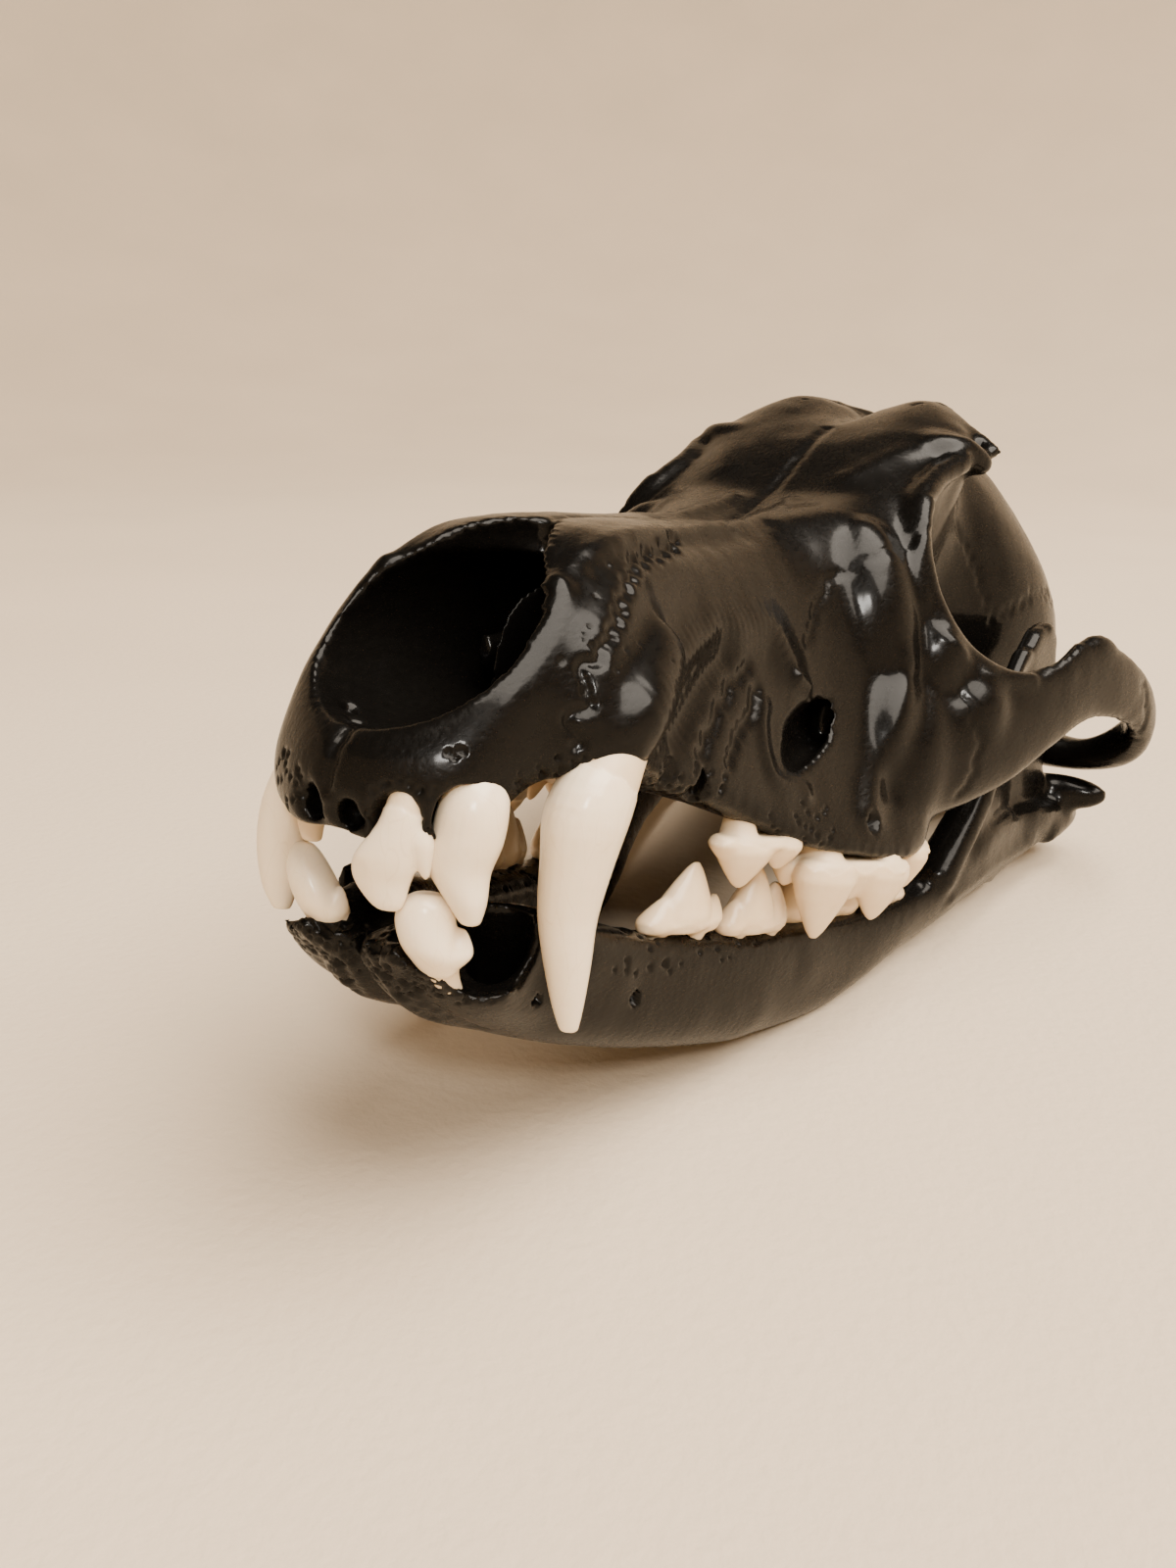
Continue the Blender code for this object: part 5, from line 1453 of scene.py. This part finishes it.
def make_light(name, power, towards, distance, size, colour):
    """An area light off in a direction from the skull, aimed back at it."""
    data = bpy.data.lights.new(name, "AREA")
    data.shape = "RECTANGLE"
    data.size, data.size_y = size
    data.energy = power
    data.color = colour
    light = new_object(name, data)
    heading = Vector(towards).normalized()
    light.location = Vector(LAMPS_AIM) + heading * distance
    light.rotation_mode = "QUATERNION"
    light.rotation_quaternion = heading.to_track_quat("Z", "Y")
    return light


def make_camera():
    data = bpy.data.cameras.new("camera")
    data.sensor_width = 36.0
    data.lens = LENS
    data.clip_start = 0.005
    camera = new_object("camera", data)
    heading = Vector(CAMERA_AIM) - Vector(CAMERA_AT)
    turned = heading.to_track_quat("-Z", "Y").to_matrix().to_4x4()
    rolled = Matrix.Rotation(math.radians(CAMERA_ROLL), 4, "Z")
    camera.matrix_world = POSE @ Matrix.Translation(Vector(CAMERA_AT) * MM) @ turned @ rolled
    bpy.context.scene.camera = camera
    return camera


def make_surroundings(looks):
    world = bpy.data.worlds.new("soft_room")
    bpy.context.scene.world = world
    world.use_nodes = True
    background = world.node_tree.nodes["Background"]
    background.inputs["Color"].default_value = (*looks.room, 1.0)
    background.inputs["Strength"].default_value = looks.room_light
    return world


# Settings that a user would change


def mesh_size(name, description, millimetres):
    return FloatProperty(
        name=name, description=description, default=millimetres * MM, min=0.1 * MM, unit="LENGTH"
    )


def colour(name, description, default):
    return FloatVectorProperty(name=name, description=description, subtype="COLOR", default=default)


class SkullSizes(PropertyGroup):
    rough: mesh_size("Rough skin", "Mesh size of the first skin", 0.8)
    fine: mesh_size("Fine skin", "Mesh size of the finished bone", 0.62)
    tooth: mesh_size("Tooth skin", "Mesh size of a tooth", 0.24)


class SkullLooks(PropertyGroup):
    black: colour("Paint", "Colour of the black paint", (0.002, 0.0018, 0.0016))
    sheen: colour("Worn paint", "Colour of thinner paint", (0.005, 0.0044, 0.0036))
    dust: colour("Dust", "Colour of the film in pores", (0.01, 0.009, 0.0075))
    gloss: FloatProperty(
        name="Gloss roughness", description="Roughness of the paint's gloss", default=0.13, min=0.0, max=1.0
    )
    coat: FloatProperty(
        name="Gloss", description="Strength of the paint's gloss", default=0.17, min=0.0, max=1.0
    )
    enamel: colour("Enamel", "Colour of the crowns", (0.84, 0.73, 0.56))
    shade: colour("Enamel shade", "Second colour of the crowns", (0.76, 0.62, 0.44))
    # The cheek teeth use Enamel shade as their enamel and this colour as their second: darker and browner
    # than the front teeth, partly stain and partly painted shade of the back of the mouth
    cheek: colour("Cheek teeth", "Second colour of the cheek teeth", (0.6, 0.43, 0.25))
    root: colour("Root", "Colour of bare roots", (0.66, 0.52, 0.35))
    tooth_gloss: FloatProperty(
        name="Tooth roughness", description="Roughness of the enamel", default=0.24, min=0.0, max=1.0
    )
    floor: colour("Floor", "Colour of the floor", (0.62, 0.505, 0.37))
    room: colour("Room", "Colour of the light all round", (1.0, 0.88, 0.74))
    room_light: FloatProperty(
        name="Room light", description="Strength of the light all round", default=0.05, min=0.0
    )
    key_light: FloatProperty(
        name="Key light", description="Power of the lamp over the camera", default=4.0, min=0.0, unit="POWER"
    )
    top_light: FloatProperty(
        name="Top light", description="Power of the broad light overhead", default=96.0, min=0.0, unit="POWER"
    )


# Operators, one for each piece or group of like pieces


class SKULL_OT_cranium(Operator):
    """Build the cranium with its nose, eye sockets and cheek arches"""

    bl_idname = "skull.cranium"
    bl_label = "Cranium"

    def execute(self, context):
        make_cranium(context.scene.skull_sizes, painted_bone(context.scene.skull_looks))
        return {"FINISHED"}


class SKULL_OT_lower_jaw(Operator):
    """Build both halves of the lower jaw"""

    bl_idname = "skull.lower_jaw"
    bl_label = "Lower jaw"

    def execute(self, context):
        for side, word in SIDES:
            make_jaw(side, word, context.scene.skull_sizes, painted_bone(context.scene.skull_looks))
        return {"FINISHED"}


class SKULL_OT_front_teeth(Operator):
    """Build the incisors and the canine that the skull still has"""

    bl_idname = "skull.front_teeth"
    bl_label = "Front teeth"

    def execute(self, context):
        looks = context.scene.skull_looks
        finish = tooth_finish(looks, "front_tooth", looks.enamel, looks.shade)
        for key in FRONT_TEETH:
            make_front_tooth(key, context.scene.skull_sizes, finish)
        return {"FINISHED"}


class SKULL_OT_cheek_teeth(Operator):
    """Build the premolars and molars on both sides"""

    bl_idname = "skull.cheek_teeth"
    bl_label = "Cheek teeth"

    def execute(self, context):
        looks = context.scene.skull_looks
        # A darker copy of the tooth finish for the cheek teeth: partly stain, partly painted shade of the
        # back of the mouth
        finish = tooth_finish(looks, "cheek_tooth", looks.shade, looks.cheek)
        for key in CHEEK_TEETH:
            for side, word in SIDES:
                make_cheek_tooth(key, side, word, context.scene.skull_sizes, finish)
        return {"FINISHED"}


class SKULL_OT_stage(Operator):
    """Build the floor, the lights and the camera"""

    bl_idname = "skull.stage"
    bl_label = "Stage"

    def execute(self, context):
        looks = context.scene.skull_looks
        make_floor(looks)
        make_surroundings(looks)
        make_light("key", looks.key_light, *KEY_LAMP)
        make_light("top", looks.top_light, *TOP_LAMP)
        make_camera()
        return {"FINISHED"}


class SKULL_PT_pieces(Panel):
    """Lists the skull's pieces in the sidebar"""

    bl_label = "Coyote skull"
    bl_space_type = "VIEW_3D"
    bl_region_type = "UI"
    bl_category = "Skull"

    def draw(self, context):
        for operator in OPERATORS:
            self.layout.operator(operator.bl_idname)
        for settings in (context.scene.skull_sizes, context.scene.skull_looks):
            for name in settings.bl_rna.properties.keys():
                if name not in ("rna_type", "name"):
                    self.layout.prop(settings, name)


SIDES = ((1, "left"), (-1, "right"))
OPERATORS = (
    SKULL_OT_cranium,
    SKULL_OT_lower_jaw,
    SKULL_OT_front_teeth,
    SKULL_OT_cheek_teeth,
    SKULL_OT_stage,
)
CLASSES = (SkullSizes, SkullLooks, *OPERATORS, SKULL_PT_pieces)


def register():
    for made in CLASSES:
        bpy.utils.register_class(made)
    bpy.types.Scene.skull_sizes = PointerProperty(type=SkullSizes)
    bpy.types.Scene.skull_looks = PointerProperty(type=SkullLooks)


def unregister():
    del bpy.types.Scene.skull_looks
    del bpy.types.Scene.skull_sizes
    for made in reversed(CLASSES):
        bpy.utils.unregister_class(made)


def main():
    register()
    bpy.ops.skull.stage()
    bpy.ops.skull.cranium()
    bpy.ops.skull.lower_jaw()
    bpy.ops.skull.front_teeth()
    bpy.ops.skull.cheek_teeth()
    bpy.context.view_layer.update()


if __name__ == "__main__":
    main()
